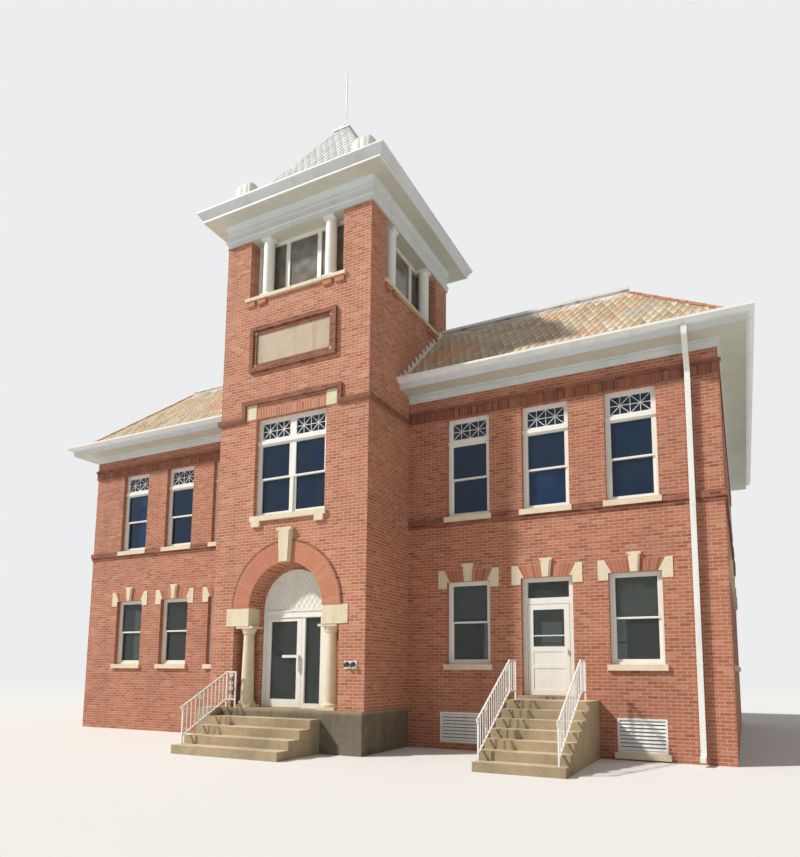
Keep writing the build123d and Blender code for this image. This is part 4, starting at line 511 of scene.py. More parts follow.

# Window glass: old drawn panes, slightly wavy, dark with the rooms behind.
# The upper panes are tinted with a painted blue sky reflection, the lower ones a painted grey street.
UPPER_STOREY = 4.6
window_glass, tree, shader = new_finish("window_glass", 0.04)
spot = own_place(tree)
waves = cloud(spot, 2.6, 2.0, 0.4)
# Painted reflection: panes above the upper storey's floor are tinted sky blue, the rest street grey.
upper = reckon("GREATER_THAN", parts_of(spot)[2], UPPER_STOREY)
tint = colour_over(upper, shade(140, 148, 144), shade(48, 108, 160))
tint = colour_over(between(waves, 0.3, 0.7, 0.0, 0.25), tint, shade(132, 148, 160))
coat(shader, tint, waves, 0.12, 0.02)
feed(shader, {"Transmission Weight": 0.9, "IOR": 1.36})
dress(["front_window_glass", "side_and_rear_window_glass", "doorway_glass", "main_door_glass",
       "side_door_glass"], window_glass)

# Belfry glass: thin panes puttied into the belfry's frames.
# They are dusty, and show the pale ceiling of the chamber.
belfry_pane, tree, shader = new_finish("belfry_pane", 0.12)
dusty = between(cloud(own_place(tree), 3.0, 4.0, 0.6), 0.35, 0.7)
tint = colour_over(dusty, shade(128, 122, 110), shade(166, 160, 148))
feed(shader, {"Base Color": tint, "Transmission Weight": 0.45, "IOR": 1.5})
dress(["belfry_glass"], belfry_pane)

# Main roof: diamond slates nailed in overlapping courses on close boarding.
# They have weathered cream and tan, with orange rust stain and grey patches.
# Each slope is cut to the hips, and to the tower at its inner end.

def new_geometry_tree(name, inputs):
    """A geometry tree with named inputs for its sizes."""
    tree = bpy.data.node_groups.new(name, "GeometryNodeTree")
    for label, kind in inputs.items():
        tree.interface.new_socket(label, in_out="INPUT", socket_type=kind)
    tree.interface.new_socket("Geometry", in_out="OUTPUT", socket_type="NodeSocketGeometry")
    return tree, add_node(tree, "NodeGroupInput").outputs, add_node(tree, "NodeGroupOutput")


def worked(step, shape, values=None, **settings):
    """What comes out when a shape passes through one step of the work."""
    return node_on("GeometryNode" + step, {0: shape, **(values or {})}, **settings).outputs[0]


def own_point(tree):
    """Where each point of the shape lies, in three parts."""
    return parts_of(add_node(tree, "GeometryNodeInputPosition").outputs[0])


def edges_at(given, height):
    """How far along a slope its left and right edges lie, at a height up it."""
    part = reckon("DIVIDE", height, given["Slope"])
    edges = []
    for side in ("Left", "Right"):
        foot = given[side + " Foot"]
        change = reckon("SUBTRACT", given[side + " Head"], foot)
        edges.append(reckon("ADD", foot, product(change, part)))
    return edges


def put(name, data):
    """A new object in the scene."""
    holder = bpy.data.objects.new(name, data)
    bpy.context.scene.collection.objects.link(holder)
    return holder


def plain_mesh(holder):
    """The plain mesh of a holder's finished shape. The holder is taken away."""
    bpy.context.view_layer.update()
    mesh = bpy.data.meshes.new_from_object(holder.evaluated_get(bpy.context.evaluated_depsgraph_get()))
    bpy.data.objects.remove(holder)
    return mesh


def grown(tree, values):
    """The plain mesh that a geometry tree makes from its values."""
    holder = put("holder", bpy.data.meshes.new("holder"))
    growth = holder.modifiers.new("growth", "NODES")
    growth.node_group = tree
    for socket in tree.interface.items_tree:
        if socket.in_out == "INPUT":
            growth[socket.identifier] = values[socket.name]
    return plain_mesh(holder)


def joined(meshes):
    """Several meshes made into one."""
    points, faces = [], []
    marks = {"tint": [], "tip": []}
    for mesh in meshes:
        start = len(points)
        points += [tuple(v.co) for v in mesh.vertices]
        faces += [tuple(start + i for i in p.vertices) for p in mesh.polygons]
        for label, values in marks.items():
            values += [value.value for value in mesh.attributes[label].data]
    whole = bpy.data.meshes.new("whole")
    whole.from_pydata(points, [], faces)
    for label, values in marks.items():
        whole.attributes.new(label, "FLOAT", "POINT").data.foreach_set("value", values)
    return whole


def piece_of(name, mesh, finish, body="building"):
    """A finished piece with its place in its mesh, riding on a body."""
    mesh.materials.clear()
    mesh.materials.append(finish)
    mesh.name = name
    piece = put(name, mesh)
    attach(piece, body)
    return piece


SLOPE_EDGES = ("Left Foot", "Left Head", "Right Foot", "Right Head")
SLATE_SIZES = ("Across", "Course", "Side", "Stretch", "Thickness", "Tilt", *SLOPE_EDGES, "Slope")
slating = dict.fromkeys(SLATE_SIZES, "NodeSocketFloat")
slating.update(dict.fromkeys(("Columns", "Rows", "Seed"), "NodeSocketInt"), Finish="NodeSocketMaterial")
laying, given, made = new_geometry_tree("overlapping slates", slating)

# A point for each slate, in rows, with every other row shifted by half a slate.
deep = product(reckon("SUBTRACT", given["Rows"], 1.0), given["Course"])
wide = product(reckon("SUBTRACT", given["Columns"], 1.0), given["Across"])
grid = node_on("GeometryNodeMeshGrid", {"Size X": wide, "Size Y": deep, "Vertices X": given["Columns"],
                                        "Vertices Y": given["Rows"]})
half_deep = product(deep, 0.5)
row = reckon("ROUND", reckon("DIVIDE", reckon("ADD", own_point(laying)[1], half_deep), given["Course"]))
middle = product(reckon("ADD", given["Left Foot"], given["Right Foot"]), 0.5)
shift = reckon("ADD", middle, product(reckon("MODULO", row, 2.0), 0.5, given["Across"]))
spots = worked("SetPosition", grid.outputs["Mesh"], {"Offset": vector_of(shift, half_deep)})
spots = worked("MeshToPoints", spots)

# The points past the left and right edges of the slope are taken away.
here = own_point(laying)
left, right = edges_at(given, here[1])
margin = product(given["Across"], 0.45)
beyond = reckon("MAXIMUM", reckon("LESS_THAN", here[0], reckon("SUBTRACT", left, margin)),
                reckon("GREATER_THAN", here[0], reckon("ADD", right, margin)))
spots = worked("DeleteGeometry", spots, {"Selection": beyond})

# One slate: a square sheet turned on its corner and drawn out up the slope.
slab_size = vector_of(given["Side"], given["Side"], given["Thickness"])
single = node_on("GeometryNodeMeshCube", {"Size": slab_size}).outputs[0]
single = worked("Transform", single, {"Rotation": (0, 0, math.radians(45))})
single = worked("Transform", single, {"Scale": vector_of(1.0, given["Stretch"], 1.0)})
half_long = product(given["Side"], math.sqrt(0.5), given["Stretch"])
tip = reckon("DIVIDE", own_point(laying)[1], half_long)
single = worked("StoreNamedAttribute", single, {"Name": "tip", "Value": tip},
                data_type="FLOAT", domain="POINT")

# A slate on every point, leaning on the course below, and all cut to the slope's edges.
lean = vector_of(product(given["Tilt"], -1.0))
laid = worked("InstanceOnPoints", spots, {"Instance": single, "Rotation": lean})
chance = node_on("FunctionNodeRandomValue", {"Seed": given["Seed"]}, data_type="FLOAT").outputs[1]
laid = worked("StoreNamedAttribute", laid, {"Name": "tint", "Value": chance},
              data_type="FLOAT", domain="INSTANCE")
laid = worked("RealizeInstances", laid)
here = own_point(laying)
up = reckon("MAXIMUM", 0.0, reckon("MINIMUM", here[1], given["Slope"]))
left, right = edges_at(given, up)
over = reckon("MAXIMUM", left, reckon("MINIMUM", here[0], right))
laid = worked("SetPosition", laid, {"Position": vector_of(over, up, here[2])})
feed(made, {0: worked("SetMaterial", laid, {"Material": given["Finish"]})})


def slate_tones(tree, stops, painted_light, shadow, bare):
    """Slates that differ from each other, painted light at their tips and painted shadow where the next ones
    lap.
    """
    own_tint = add_node(tree, "ShaderNodeAttribute", attribute_name="tint").outputs["Fac"]
    own_tip = add_node(tree, "ShaderNodeAttribute", attribute_name="tip").outputs["Fac"]
    # Painted shadow where the next course laps, and a painted highlight at each tip.
    stone = colour_over(between(own_tip, -0.5, 0.05, 0.0, bare), tones(own_tint, stops), shadow)
    return colour_over(between(own_tip, -0.90, -0.78, 0.95, 0.0), stone, painted_light)


CHALK_FOOT = 10.42
CHALK_TOP = 10.76
SLATE_TONES = [(0.0, shade(178, 156, 124)), (0.3, shade(222, 206, 176)), (0.5, shade(196, 172, 138)),
               (0.75, shade(228, 216, 190)), (1.0, shade(172, 148, 116))]
slate, tree, shader, dirt = weathered("slate", 0.7, 1.2, 0.3)
spot = own_place(tree)
# The slates get painted highlights at their tips and painted shadow where the next course laps them.
stone = slate_tones(tree, SLATE_TONES, shade(255, 250, 234), shade(134, 112, 84), 0.5)
rusty = between(cloud(spot, 0.9, 6.0, 0.65), 0.5, 0.66, 0.0, 0.6)
stone = colour_over(rusty, stone, shade(206, 148, 98))
greyed = between(cloud(spot, 0.55, 5.0, 0.6), 0.54, 0.68, 0.0, 0.6)
stone = colour_over(greyed, stone, shade(176, 172, 164))
stone = grained(dirt, 0.35, 0.3, stone, shade(140, 122, 96))
chalk = product(between(parts_of(spot)[2], CHALK_FOOT, CHALK_TOP, 0.0, 0.8),
                between(cloud(spot, 2.2, 6.0, 0.6), 0.42, 0.58))
stone = colour_over(chalk, stone, shade(236, 228, 216))
coat(shader, stone, dirt["Grain"], 0.35, 0.004)
dress(["roof_front_slopes", "roof_side_slopes", "roof_rear_slope"], slate)

TOWER_X = 2.08
WALL_X = 8.90
BACK_Y = 11.75
EAVE = 0.497
EAVE_Z = 8.43
ROOF_RUN = 2.400
ROOF_RISE = 2.345
ROOF_SLATES = {"Across": 0.19, "Course": 0.28, "Side": 0.146, "Stretch": 3.0, "Thickness": 0.007,
               "Tilt": math.radians(1.7), "Lift": 0.011}
MIDDLE_Y = BACK_Y / 2
EAVE_X = WALL_X + EAVE
HEAD_X = EAVE_X - ROOF_RUN
EAVE_Y = MIDDLE_Y + EAVE
HEAD_Y = EAVE_Y - ROOF_RUN


def slates_on(sizes, finish, centre, half, level, run, rise, edges, seed):
    """The slates of one slope, whose eave lies along one level direction, half a roof from the centre."""
    slope = math.hypot(run, rise)
    columns = math.ceil((edges[2] - edges[0]) / sizes["Across"]) + 3
    rows = math.ceil(slope / sizes["Course"]) + 1
    values = dict(zip(SLOPE_EDGES, edges), Slope=slope, Columns=columns, Rows=rows, Seed=seed, Finish=finish)
    mesh = grown(laying, {**sizes, **values})
    level = Vector(level)
    inward = Vector((0, 0, 1)).cross(level)
    upslope = (inward * run + Vector((0, 0, rise))).normalized()
    out = level.cross(upslope)
    place = Matrix((level, upslope, out)).transposed().to_4x4()
    place.translation = Vector(centre) - inward * half + out * sizes["Lift"]
    mesh.transform(place)
    return mesh


slopes = []
for seed, half, level, edges in (
        (1, EAVE_Y, (1, 0, 0), (TOWER_X, TOWER_X, EAVE_X, HEAD_X)),
        (2, EAVE_Y, (1, 0, 0), (-EAVE_X, -HEAD_X, -TOWER_X, -TOWER_X)),
        (3, EAVE_Y, (-1, 0, 0), (-EAVE_X, -HEAD_X, EAVE_X, HEAD_X)),
        (4, EAVE_X, (0, 1, 0), (-EAVE_Y, -HEAD_Y, EAVE_Y, HEAD_Y)),
        (5, EAVE_X, (0, -1, 0), (-EAVE_Y, -HEAD_Y, EAVE_Y, HEAD_Y))):
    slopes.append(slates_on(ROOF_SLATES, slate, (0, MIDDLE_Y, EAVE_Z), half, level, ROOF_RUN, ROOF_RISE,
                            edges, seed))
piece_of("roof_slates", joined(slopes), slate)

# Hip caps: folded sheet in overlapping lengths, nailed along the four hips.
# Their paint has gone, and rust has turned them orange.
CAP_LEG = 0.060
CAP_LENGTH = 0.62
CAP_OVERLAP = 0.06
CAP_THICK = 0.006
CAP_SEAT = 0.026
CAP_RIDGE = 0.038
CAP_LAP = 0.008
CAP_SIDES = ((0, 1, 7, 6), (1, 2, 8, 7), (3, 9, 10, 4), (4, 10, 11, 5), (0, 6, 9, 3), (2, 5, 11, 8),
             (0, 3, 4, 1), (1, 4, 5, 2), (6, 7, 10, 9), (7, 8, 11, 10))
hip_sheet, tree, shader, dirt = weathered("hip_sheet", 0.7, 2.0, 0.2)
rust = tones(cloud(own_place(tree), 5.0, 8.0, 0.75),
             [(0.3, shade(136, 86, 60)), (0.5, shade(172, 114, 80)), (0.62, shade(198, 160, 124)),
              (0.75, shade(222, 210, 192))])
coat(shader, rust, dirt["Grain"], 0.4, 0.004)


def add_part(shape, corners, sides):
    """Add one closed part to a shape's points and faces."""
    points, faces = shape
    first = len(points)
    points += [tuple(corner) for corner in corners]
    faces += [tuple(first + corner for corner in side) for side in sides]


def hip_cap(shape, foot, head, left_out, right_out):
    """One folded length over a hip, from its foot to its head."""
    along = (head - foot).normalized()
    ridge = (left_out + right_out).normalized()
    legs = []
    for out in (left_out, right_out):
        down = along.cross(out)
        if down.z > 0:
            down = -down
        legs.append(down * CAP_LEG + out * CAP_SEAT)
    corners = []
    for spot, rise in ((foot, CAP_LAP), (head, 0.0)):
        for under in (0.0, CAP_THICK):
            for reach in (legs[0], ridge * CAP_RIDGE, legs[1]):
                corners.append(spot + reach + ridge * (rise - under))
    add_part(shape, corners, CAP_SIDES)


def closed_mesh(shape):
    """A closed mesh with its faces outwards."""
    points, faces = shape
    mesh = bpy.data.meshes.new("solid")
    mesh.from_pydata(points, [], faces)
    work = bmesh.new()
    work.from_mesh(mesh)
    bmesh.ops.recalc_face_normals(work, faces=work.faces)
    work.to_mesh(mesh)
    work.free()
    return mesh


shape = ([], [])
for side in (-1, 1):
    for back in (-1, 1):
        foot = Vector((side * EAVE_X, MIDDLE_Y + back * EAVE_Y, EAVE_Z))
        head = Vector((side * HEAD_X, MIDDLE_Y + back * HEAD_Y, EAVE_Z + ROOF_RISE))
        side_out = Vector((side * ROOF_RISE, 0, ROOF_RUN)).normalized()
        face_out = Vector((0, back * ROOF_RISE, ROOF_RUN)).normalized()
        count = round((head - foot).length / CAP_LENGTH)
        for number in range(count):
            start = foot.lerp(head, number / count)
            stop = foot.lerp(head, min(1.0, (number + 1 + CAP_OVERLAP) / count))
            hip_cap(shape, start, stop, side_out, face_out)
piece_of("hip_caps", closed_mesh(shape), hip_sheet)

# Tower roof: small pressed shingles in courses up a steep pyramid.
# They are painted pale grey, and dulled by weather.
SPIRE_HALF = 2.117
SPIRE_FOOT = 13.0
SPIRE_RISE = 3.525
TOWER_Y = 0.115
SHINGLES = {"Across": 0.20, "Course": 0.24, "Side": 0.153, "Stretch": 2.45, "Thickness": 0.006,
            "Tilt": math.radians(1.8), "Lift": 0.010}
SHINGLE_SEED = 11
SHINGLE_TONES = [(0.0, shade(206, 208, 206)), (0.4, shade(232, 233, 230)), (0.6, shade(214, 214, 208)),
                 (0.85, shade(236, 236, 232)), (1.0, shade(222, 218, 206))]
shingle, tree, shader, dirt = weathered("shingle", 0.6, 1.6, 0.4)
# The shingles get painted highlights at their tips and painted shadow where the next course laps them.
stone = slate_tones(tree, SHINGLE_TONES, shade(238, 238, 236), shade(132, 134, 134), 0.55)
stone = sooted(dirt, 0.25, stone, shade(136, 134, 126))
coat(shader, stone, dirt["Grain"], 0.3, 0.003)
dress(["tower_roof"], shingle)
slopes = []
for number, level in enumerate(((1, 0, 0), (0, 1, 0), (-1, 0, 0), (0, -1, 0))):
    slopes.append(slates_on(SHINGLES, shingle, (0, TOWER_Y, SPIRE_FOOT), SPIRE_HALF, level, SPIRE_HALF,
                            SPIRE_RISE, (-SPIRE_HALF, 0.0, SPIRE_HALF, 0.0), SHINGLE_SEED + number))
piece_of("tower_shingles", joined(slopes), shingle)

# Boarded pyramid under the shingles, open inside, with a small ribbed sheet
# dome standing at each corner of the gutter.
BOARDING = 0.14
DOME_OUT = 1.73
DOME_HALF = 0.285
DOME_FOOT = 13.0
DOME_SPRING = 13.76
DOME_TOP = 13.99
DOME_RIBS = 12
DOME_RIB = 0.035
DOME_STEPS = 72
DOME_RINGS = 9
AROUND = ((-1, -1), (1, -1), (1, 1), (-1, 1))
roof_sheet, tree, shader, dirt = weathered("roof_sheet", 0.55, 1.8, 0.6)
sheet = grained(dirt, 0.35, 0.5, shade(226, 226, 220), shade(182, 180, 170))
sheet = sooted(dirt, 0.4, sheet, shade(128, 126, 118))
coat(shader, sheet, dirt["Grain"], 0.3, 0.003)


def pyramid(half, top):
    """The corners of a four-sided roof over its foot, and its top."""
    corners = [(x * half, TOWER_Y + y * half, SPIRE_FOOT) for x, y in AROUND]
    return corners + [(0, TOWER_Y, top)]


corners = pyramid(SPIRE_HALF, SPIRE_FOOT + SPIRE_RISE)
corners += pyramid(SPIRE_HALF - BOARDING, SPIRE_FOOT + SPIRE_RISE * (1 - BOARDING / SPIRE_HALF))
sides = []
for n in range(4):
    m = (n + 1) % 4
    sides += [(n, m, 4), (5 + n, 9, 5 + m), (n, 5 + n, 5 + m, m)]
shape = ([], [])
add_part(shape, corners, sides)

rings = [(DOME_FOOT, 1.0)]
for ring in range(DOME_RINGS):
    turn = math.pi / 2 * ring / DOME_RINGS
    rings.append((DOME_SPRING + (DOME_TOP - DOME_SPRING) * math.sin(turn), math.cos(turn) ** 0.6))
outline = []
for step in range(DOME_STEPS):
    turn = 2 * math.pi * step / DOME_STEPS
    c, d = math.cos(turn), math.sin(turn)
    squared = (c ** 4 + d ** 4) ** -0.25
    reach = DOME_HALF * squared * (1.0 + DOME_RIB * abs(math.sin(turn * DOME_RIBS / 2)))
    outline.append((reach * c, reach * d))
last = DOME_RINGS * DOME_STEPS
sides = [tuple(reversed(range(DOME_STEPS)))]
for step in range(DOME_STEPS):
    after = (step + 1) % DOME_STEPS
    for low in range(0, last, DOME_STEPS):
        high = low + DOME_STEPS
        sides.append((low + step, low + after, high + after, high + step))
    sides.append((last + step, last + after, last + DOME_STEPS))
for x in (-DOME_OUT, DOME_OUT):
    for y in (TOWER_Y - DOME_OUT, TOWER_Y + DOME_OUT):
        corners = [(x + share * east, y + share * north, z) for z, share in rings for east, north in outline]
        add_part(shape, corners + [(x, y, DOME_TOP)], sides)
boards = piece_of("tower_roof_boards", closed_mesh(shape), roof_sheet)
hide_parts("tower_roof")

# Iron scrolls let in between the railings' balusters, and the curled ends of
# the rails. They are bent from thin bar, and welded at their touching points.
SCROLL_R = 0.052
SCROLL_BAR = 0.010
SCROLL_TURNS = 1.2
SCROLL_STEPS = 22
SCROLL_RISE = 0.48
TALL_HALF = 0.25
SHORT_HALF = 0.15
MAIN_RAIL_X = -1.5
MAIN_FLIGHT = (0.89, -1.99, 0.5617)
MAIN_SCROLL_Y = -2.78
MAIN_END = (-3.2575, 0.966)
SHORT_X = -1.375
SHORT_RISES = (0.32, 0.62)
SIDE_RAILS_X = (4.85, 6.27)
SIDE_FLIGHT = (1.15, -0.92, 0.6)
SIDE_SCROLLS_Y = (-1.06, -2.22)
SIDE_END = (-2.655, 0.900)
END_OUT = 0.03
EAST, NORTH, UP = Vector((1, 0, 0)), Vector((0, 1, 0)), Vector((0, 0, 1))


def curl(centre, along, up):
    """A spiral about a centre, from its inner end to its widest point opposite up."""
    run = []
    for step in range(SCROLL_STEPS + 1):
        part = step / SCROLL_STEPS
        turn = math.pi * (-0.5 + 2 * SCROLL_TURNS * (1 - part))
        radius = SCROLL_R * (0.3 + 0.7 * part)
        run.append(centre + along * radius * math.cos(turn) + up * radius * math.sin(turn))
    return run


def scroll(middle, along, half_height):
    """A double scroll about a middle point, in the upright plane that holds a direction."""
    reach = UP * (half_height - SCROLL_R)
    return curl(middle - reach, along, -UP) + list(reversed(curl(middle + reach, along, UP)))


def over_flight(x, y, flight):
    """The middle of a tall scroll over a flight, from its landing, the landing's edge and its fall."""
    landing, edge, fall = flight
    return Vector((x, y, landing - fall * (edge - y) + SCROLL_RISE))


spots = [(over_flight(MAIN_RAIL_X, MAIN_SCROLL_Y, MAIN_FLIGHT), NORTH, TALL_HALF)]
for rise in SHORT_RISES:
    spots.append((Vector((SHORT_X, MAIN_FLIGHT[1], MAIN_FLIGHT[0] + rise)), EAST, SHORT_HALF))
ends = [Vector((MAIN_RAIL_X, *MAIN_END))]
for x in SIDE_RAILS_X:
    ends.append(Vector((x, *SIDE_END)))
    spots += [(over_flight(x, y, SIDE_FLIGHT), NORTH, TALL_HALF) for y in SIDE_SCROLLS_Y]
paths = [scroll(middle, flip * along, half) for middle, along, half in spots for flip in (-1, 1)]
paths += [curl(end - END_OUT * NORTH - SCROLL_R * UP, -NORTH, -UP) + [end] for end in ends]
line = bpy.data.curves.new("scrolls", "CURVE")
line.dimensions = "3D"
line.bevel_depth = SCROLL_BAR
line.bevel_resolution = 2
line.use_fill_caps = True
for path in paths:
    spline = line.splines.new("POLY")
    spline.points.add(len(path) - 1)
    for point, place in zip(spline.points, path):
        point.co = (*place, 1.0)
piece_of("railing_scrolls", plain_mesh(put("scrolls", line)), white_iron)

# Storm door of the side entrance: one thin bar crosses its glass, and is
# screwed to the door on both sides.
BAR_Z = 2.46
BAR_H = 0.022
BAR_PROUD = 0.012
BLOCK_SIDES = ((0, 1, 2, 3), (7, 6, 5, 4), (0, 4, 5, 1), (1, 5, 6, 2), (2, 6, 7, 3), (3, 7, 4, 0))


def add_box(shape, low, high):
    """A squared block between two corners."""
    ring = ((low[1], low[2]), (low[1], high[2]), (high[1], high[2]), (high[1], low[2]))
    add_part(shape, [(x, y, z) for x in (low[0], high[0]) for y, z in ring], BLOCK_SIDES)


low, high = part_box("side_door_glass")
shape = ([], [])
add_box(shape, (low[0], low[1] - BAR_PROUD, BAR_Z), (high[0], low[1], BAR_Z + BAR_H))
piece_of("storm_door_bar", closed_mesh(shape), white_paint, body="side_door_leaf")

# Star glazing bars in the transoms of the upper windows: two squares side by
# side, each with an upright, a level bar and both diagonals, planted on the
# glass, and a narrow post between them.
COLUMNS_X = (3.59, 5.39, 7.19)
OPENING_W = 1.04
JAMB = 0.11
TRANSOM_FOOT = 7.085
TRANSOM_HEAD = 7.465
TRANSOM_MIDDLE = (TRANSOM_FOOT + TRANSOM_HEAD) / 2
TOWER_LIGHT = (0.09, 0.88)
TOWER_FACE = -1.915
GLASS_FACE = 0.149
STAR_BAR = 0.012
BAR_DEPTH = 0.014


def add_bar(shape, start, end, width, depth):
    """A squared bar between two points of a wall face."""
    start, end = Vector(start), Vector(end)
    out = Vector((0, -1, 0)) * depth
    side = (end - start).normalized().cross(Vector((0, -1, 0))) * width / 2
    corners = [spot + corner for spot in (start, end) for corner in (-side, side, side + out, -side + out)]
    add_part(shape, corners, BLOCK_SIDES)


half_light = OPENING_W / 2 - JAMB
bays = [(side * x - half_light, side * x + half_light, GLASS_FACE) for x in COLUMNS_X for side in (-1, 1)]
bays += [(*sorted(side * x for x in TOWER_LIGHT), TOWER_FACE + GLASS_FACE) for side in (-1, 1)]
shape = ([], [])
for low, high, deep in bays:
    centre = (low + high) / 2
    bars = [(centre, TRANSOM_FOOT, centre, TRANSOM_HEAD)]
    for first, last in ((low, centre - STAR_BAR / 2), (centre + STAR_BAR / 2, high)):
        middle = (first + last) / 2
        bars += [(middle, TRANSOM_FOOT, middle, TRANSOM_HEAD), (first, TRANSOM_MIDDLE, last, TRANSOM_MIDDLE),
                 (first, TRANSOM_FOOT, last, TRANSOM_HEAD), (first, TRANSOM_HEAD, last, TRANSOM_FOOT)]
    for start_x, start_z, end_x, end_z in bars:
        add_bar(shape, (start_x, deep, start_z), (end_x, deep, end_z), STAR_BAR, BAR_DEPTH)
piece_of("star_glazing_bars", closed_mesh(shape), white_paint)

# Fanlight over the main door: a painted board closes the light, with a fine
# diamond lattice planted on it. Two small mouldings cross the transom below.
FRAME_FACE = -1.525
FAN_R = 0.79
FAN_FOOT = 3.06
FAN_FACE = -1.496
FAN_BACK = -1.484
FAN_SIDES = 32
LATTICE_PITCH = 0.14
LATTICE_FALL = 1.35
LATTICE_COUNT = 16
LATTICE_BAR = 0.010
LATTICE_DEPTH = 0.007
LATTICE_LEAST = 0.06
MOULDINGS_Z = (2.909, 3.047)
MOULDING_H = 0.026
MOULDING_DEPTH = 0.020
shape = ([], [])
for lean in (-1, 1):
    direction = Vector((1, 0, lean * LATTICE_FALL)).normalized()
    for step in range(-LATTICE_COUNT, LATTICE_COUNT + 1):
        foot = Vector((step * LATTICE_PITCH, 0, FAN_FOOT - ARCH_CENTRE_Z))
        along = foot.dot(direction)
        gap = along * along - foot.length_squared + FAN_R * FAN_R
        if gap <= 0.01:
            continue
        ends = [foot + direction * (flip * math.sqrt(gap) - along) for flip in (-1, 1)]
        ends = [foot if end.z < foot.z else end for end in ends]
        if (ends[0] - ends[1]).length < LATTICE_LEAST:
            continue
        start, end = [(end.x, FAN_FACE, end.z + ARCH_CENTRE_Z) for end in ends]
        add_bar(shape, start, end, LATTICE_BAR, LATTICE_DEPTH)
for z in MOULDINGS_Z:
    add_bar(shape, (-FAN_R, FRAME_FACE, z), (FAN_R, FRAME_FACE, z), MOULDING_H, MOULDING_DEPTH)
piece_of("fanlight_lattice", closed_mesh(shape), white_paint)

turns = [math.pi * n / FAN_SIDES for n in range(FAN_SIDES + 1)]
rim = [(FAN_R * math.cos(turn), ARCH_CENTRE_Z + FAN_R * math.sin(turn)) for turn in turns]
rim += [(-FAN_R, FAN_FOOT), (FAN_R, FAN_FOOT)]
count = len(rim)
sides = [tuple(range(count)), tuple(range(2 * count - 1, count - 1, -1))]
sides += [(n, (n + 1) % count, (n + 1) % count + count, n + count) for n in range(count)]
shape = ([], [])
add_part(shape, [(x, y, z) for y in (FAN_FACE, FAN_BACK) for x, z in rim], sides)
piece_of("fanlight_board", closed_mesh(shape), white_paint)

# Basement vents: a frame let into the brickwork, with sheet louvres that lean
# outwards and shed the rain. They are painted white, over a duct painted dark as the shade behind them.
VENTS_X = (3.38, 7.235)
VENT_W = 0.94
VENT_FOOT = 0.15
VENT_H = 0.66
VENT_RIM = 0.04
VENT_DEPTH = 0.08
DUCT_BACK = 0.09
LOUVRES = 8
LOUVRE_GAP = 0.008
LOUVRE_THICK = 0.006
LOUVRE_FACE = 0.056
LOUVRE_LEAN = 0.030
LOUVRE_PITCH = (VENT_H - 2 * VENT_RIM) / LOUVRES


def mottled(name, rough, scale, low, first, second):
    """A plain finish of two colours in small clouds."""
    finish, tree, shader = new_finish(name, rough)
    feed(shader, {"Base Color": colour_over(between(cloud(own_place(tree), scale), low, 0.7), first, second)})
    return finish


# Painted shade: the duct behind the louvres is coloured dark for the shade inside it.
shade_duct = mottled("shade_duct", 0.9, 9.0, 0.4, shade(58, 54, 48), shade(84, 78, 70))
shape, ducts = ([], []), ([], [])
top = VENT_FOOT + VENT_H
for centre in VENTS_X:
    low, high = centre - VENT_W / 2, centre + VENT_W / 2
    inner_low, inner_high = low + VENT_RIM, high - VENT_RIM
    for start, stop in (((low, VENT_FOOT), (inner_low, top)), ((inner_high, VENT_FOOT), (high, top)),
                        ((inner_low, VENT_FOOT), (inner_high, VENT_FOOT + VENT_RIM)),
                        ((inner_low, top - VENT_RIM), (inner_high, top))):
        add_box(shape, (start[0], 0.0, start[1]), (stop[0], VENT_DEPTH, stop[1]))
    add_box(ducts, (low, VENT_DEPTH, VENT_FOOT), (high, DUCT_BACK, top))
    for number in range(LOUVRES):
        foot = VENT_FOOT + VENT_RIM + number * LOUVRE_PITCH + LOUVRE_GAP
        near = [(LOUVRE_GAP, foot), (LOUVRE_GAP + LOUVRE_LEAN, foot + LOUVRE_FACE)]
        blade = near + [(y + LOUVRE_THICK, z) for y, z in reversed(near)]
        add_part(shape, [(x, y, z) for x in (inner_low, inner_high) for y, z in blade], BLOCK_SIDES)
louvres = piece_of("vent_louvres", closed_mesh(shape), white_metal)
piece_of("vent_ducts", closed_mesh(ducts), shade_duct)
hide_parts("basement_vents")

# Slatted blind in one lower window, and roller blinds in a lower and an upper
# one, drawn half way behind the upper sash.
BLIND_FACE = 0.20
SLATS = 22
SLAT_HALF = 0.37
SLAT_DEPTH = 0.012
SLAT_H = 0.021
SLATS_FOOT = 2.90
SLATS_H = 0.75
ROLLER_HALF = 0.38
ROLLER_DEPTH = 0.003
ROLLERS = ((COLUMNS_X[2], 2.84, 3.62), (COLUMNS_X[1], 5.34, 6.16))
blind_cloth = mottled("blind_cloth", 0.8, 4.0, 0.35, shade(214, 212, 202), shade(192, 188, 176))
shape = ([], [])
x = COLUMNS_X[0]
for number in range(SLATS):
    foot = SLATS_FOOT + number * SLATS_H / SLATS
    add_box(shape, (x - SLAT_HALF, BLIND_FACE, foot), (x + SLAT_HALF, BLIND_FACE + SLAT_DEPTH, foot + SLAT_H))
for x, foot, head in ROLLERS:
    add_box(shape, (x - ROLLER_HALF, BLIND_FACE, foot), (x + ROLLER_HALF, BLIND_FACE + ROLLER_DEPTH, head))
piece_of("window_blinds", closed_mesh(shape), blind_cloth)

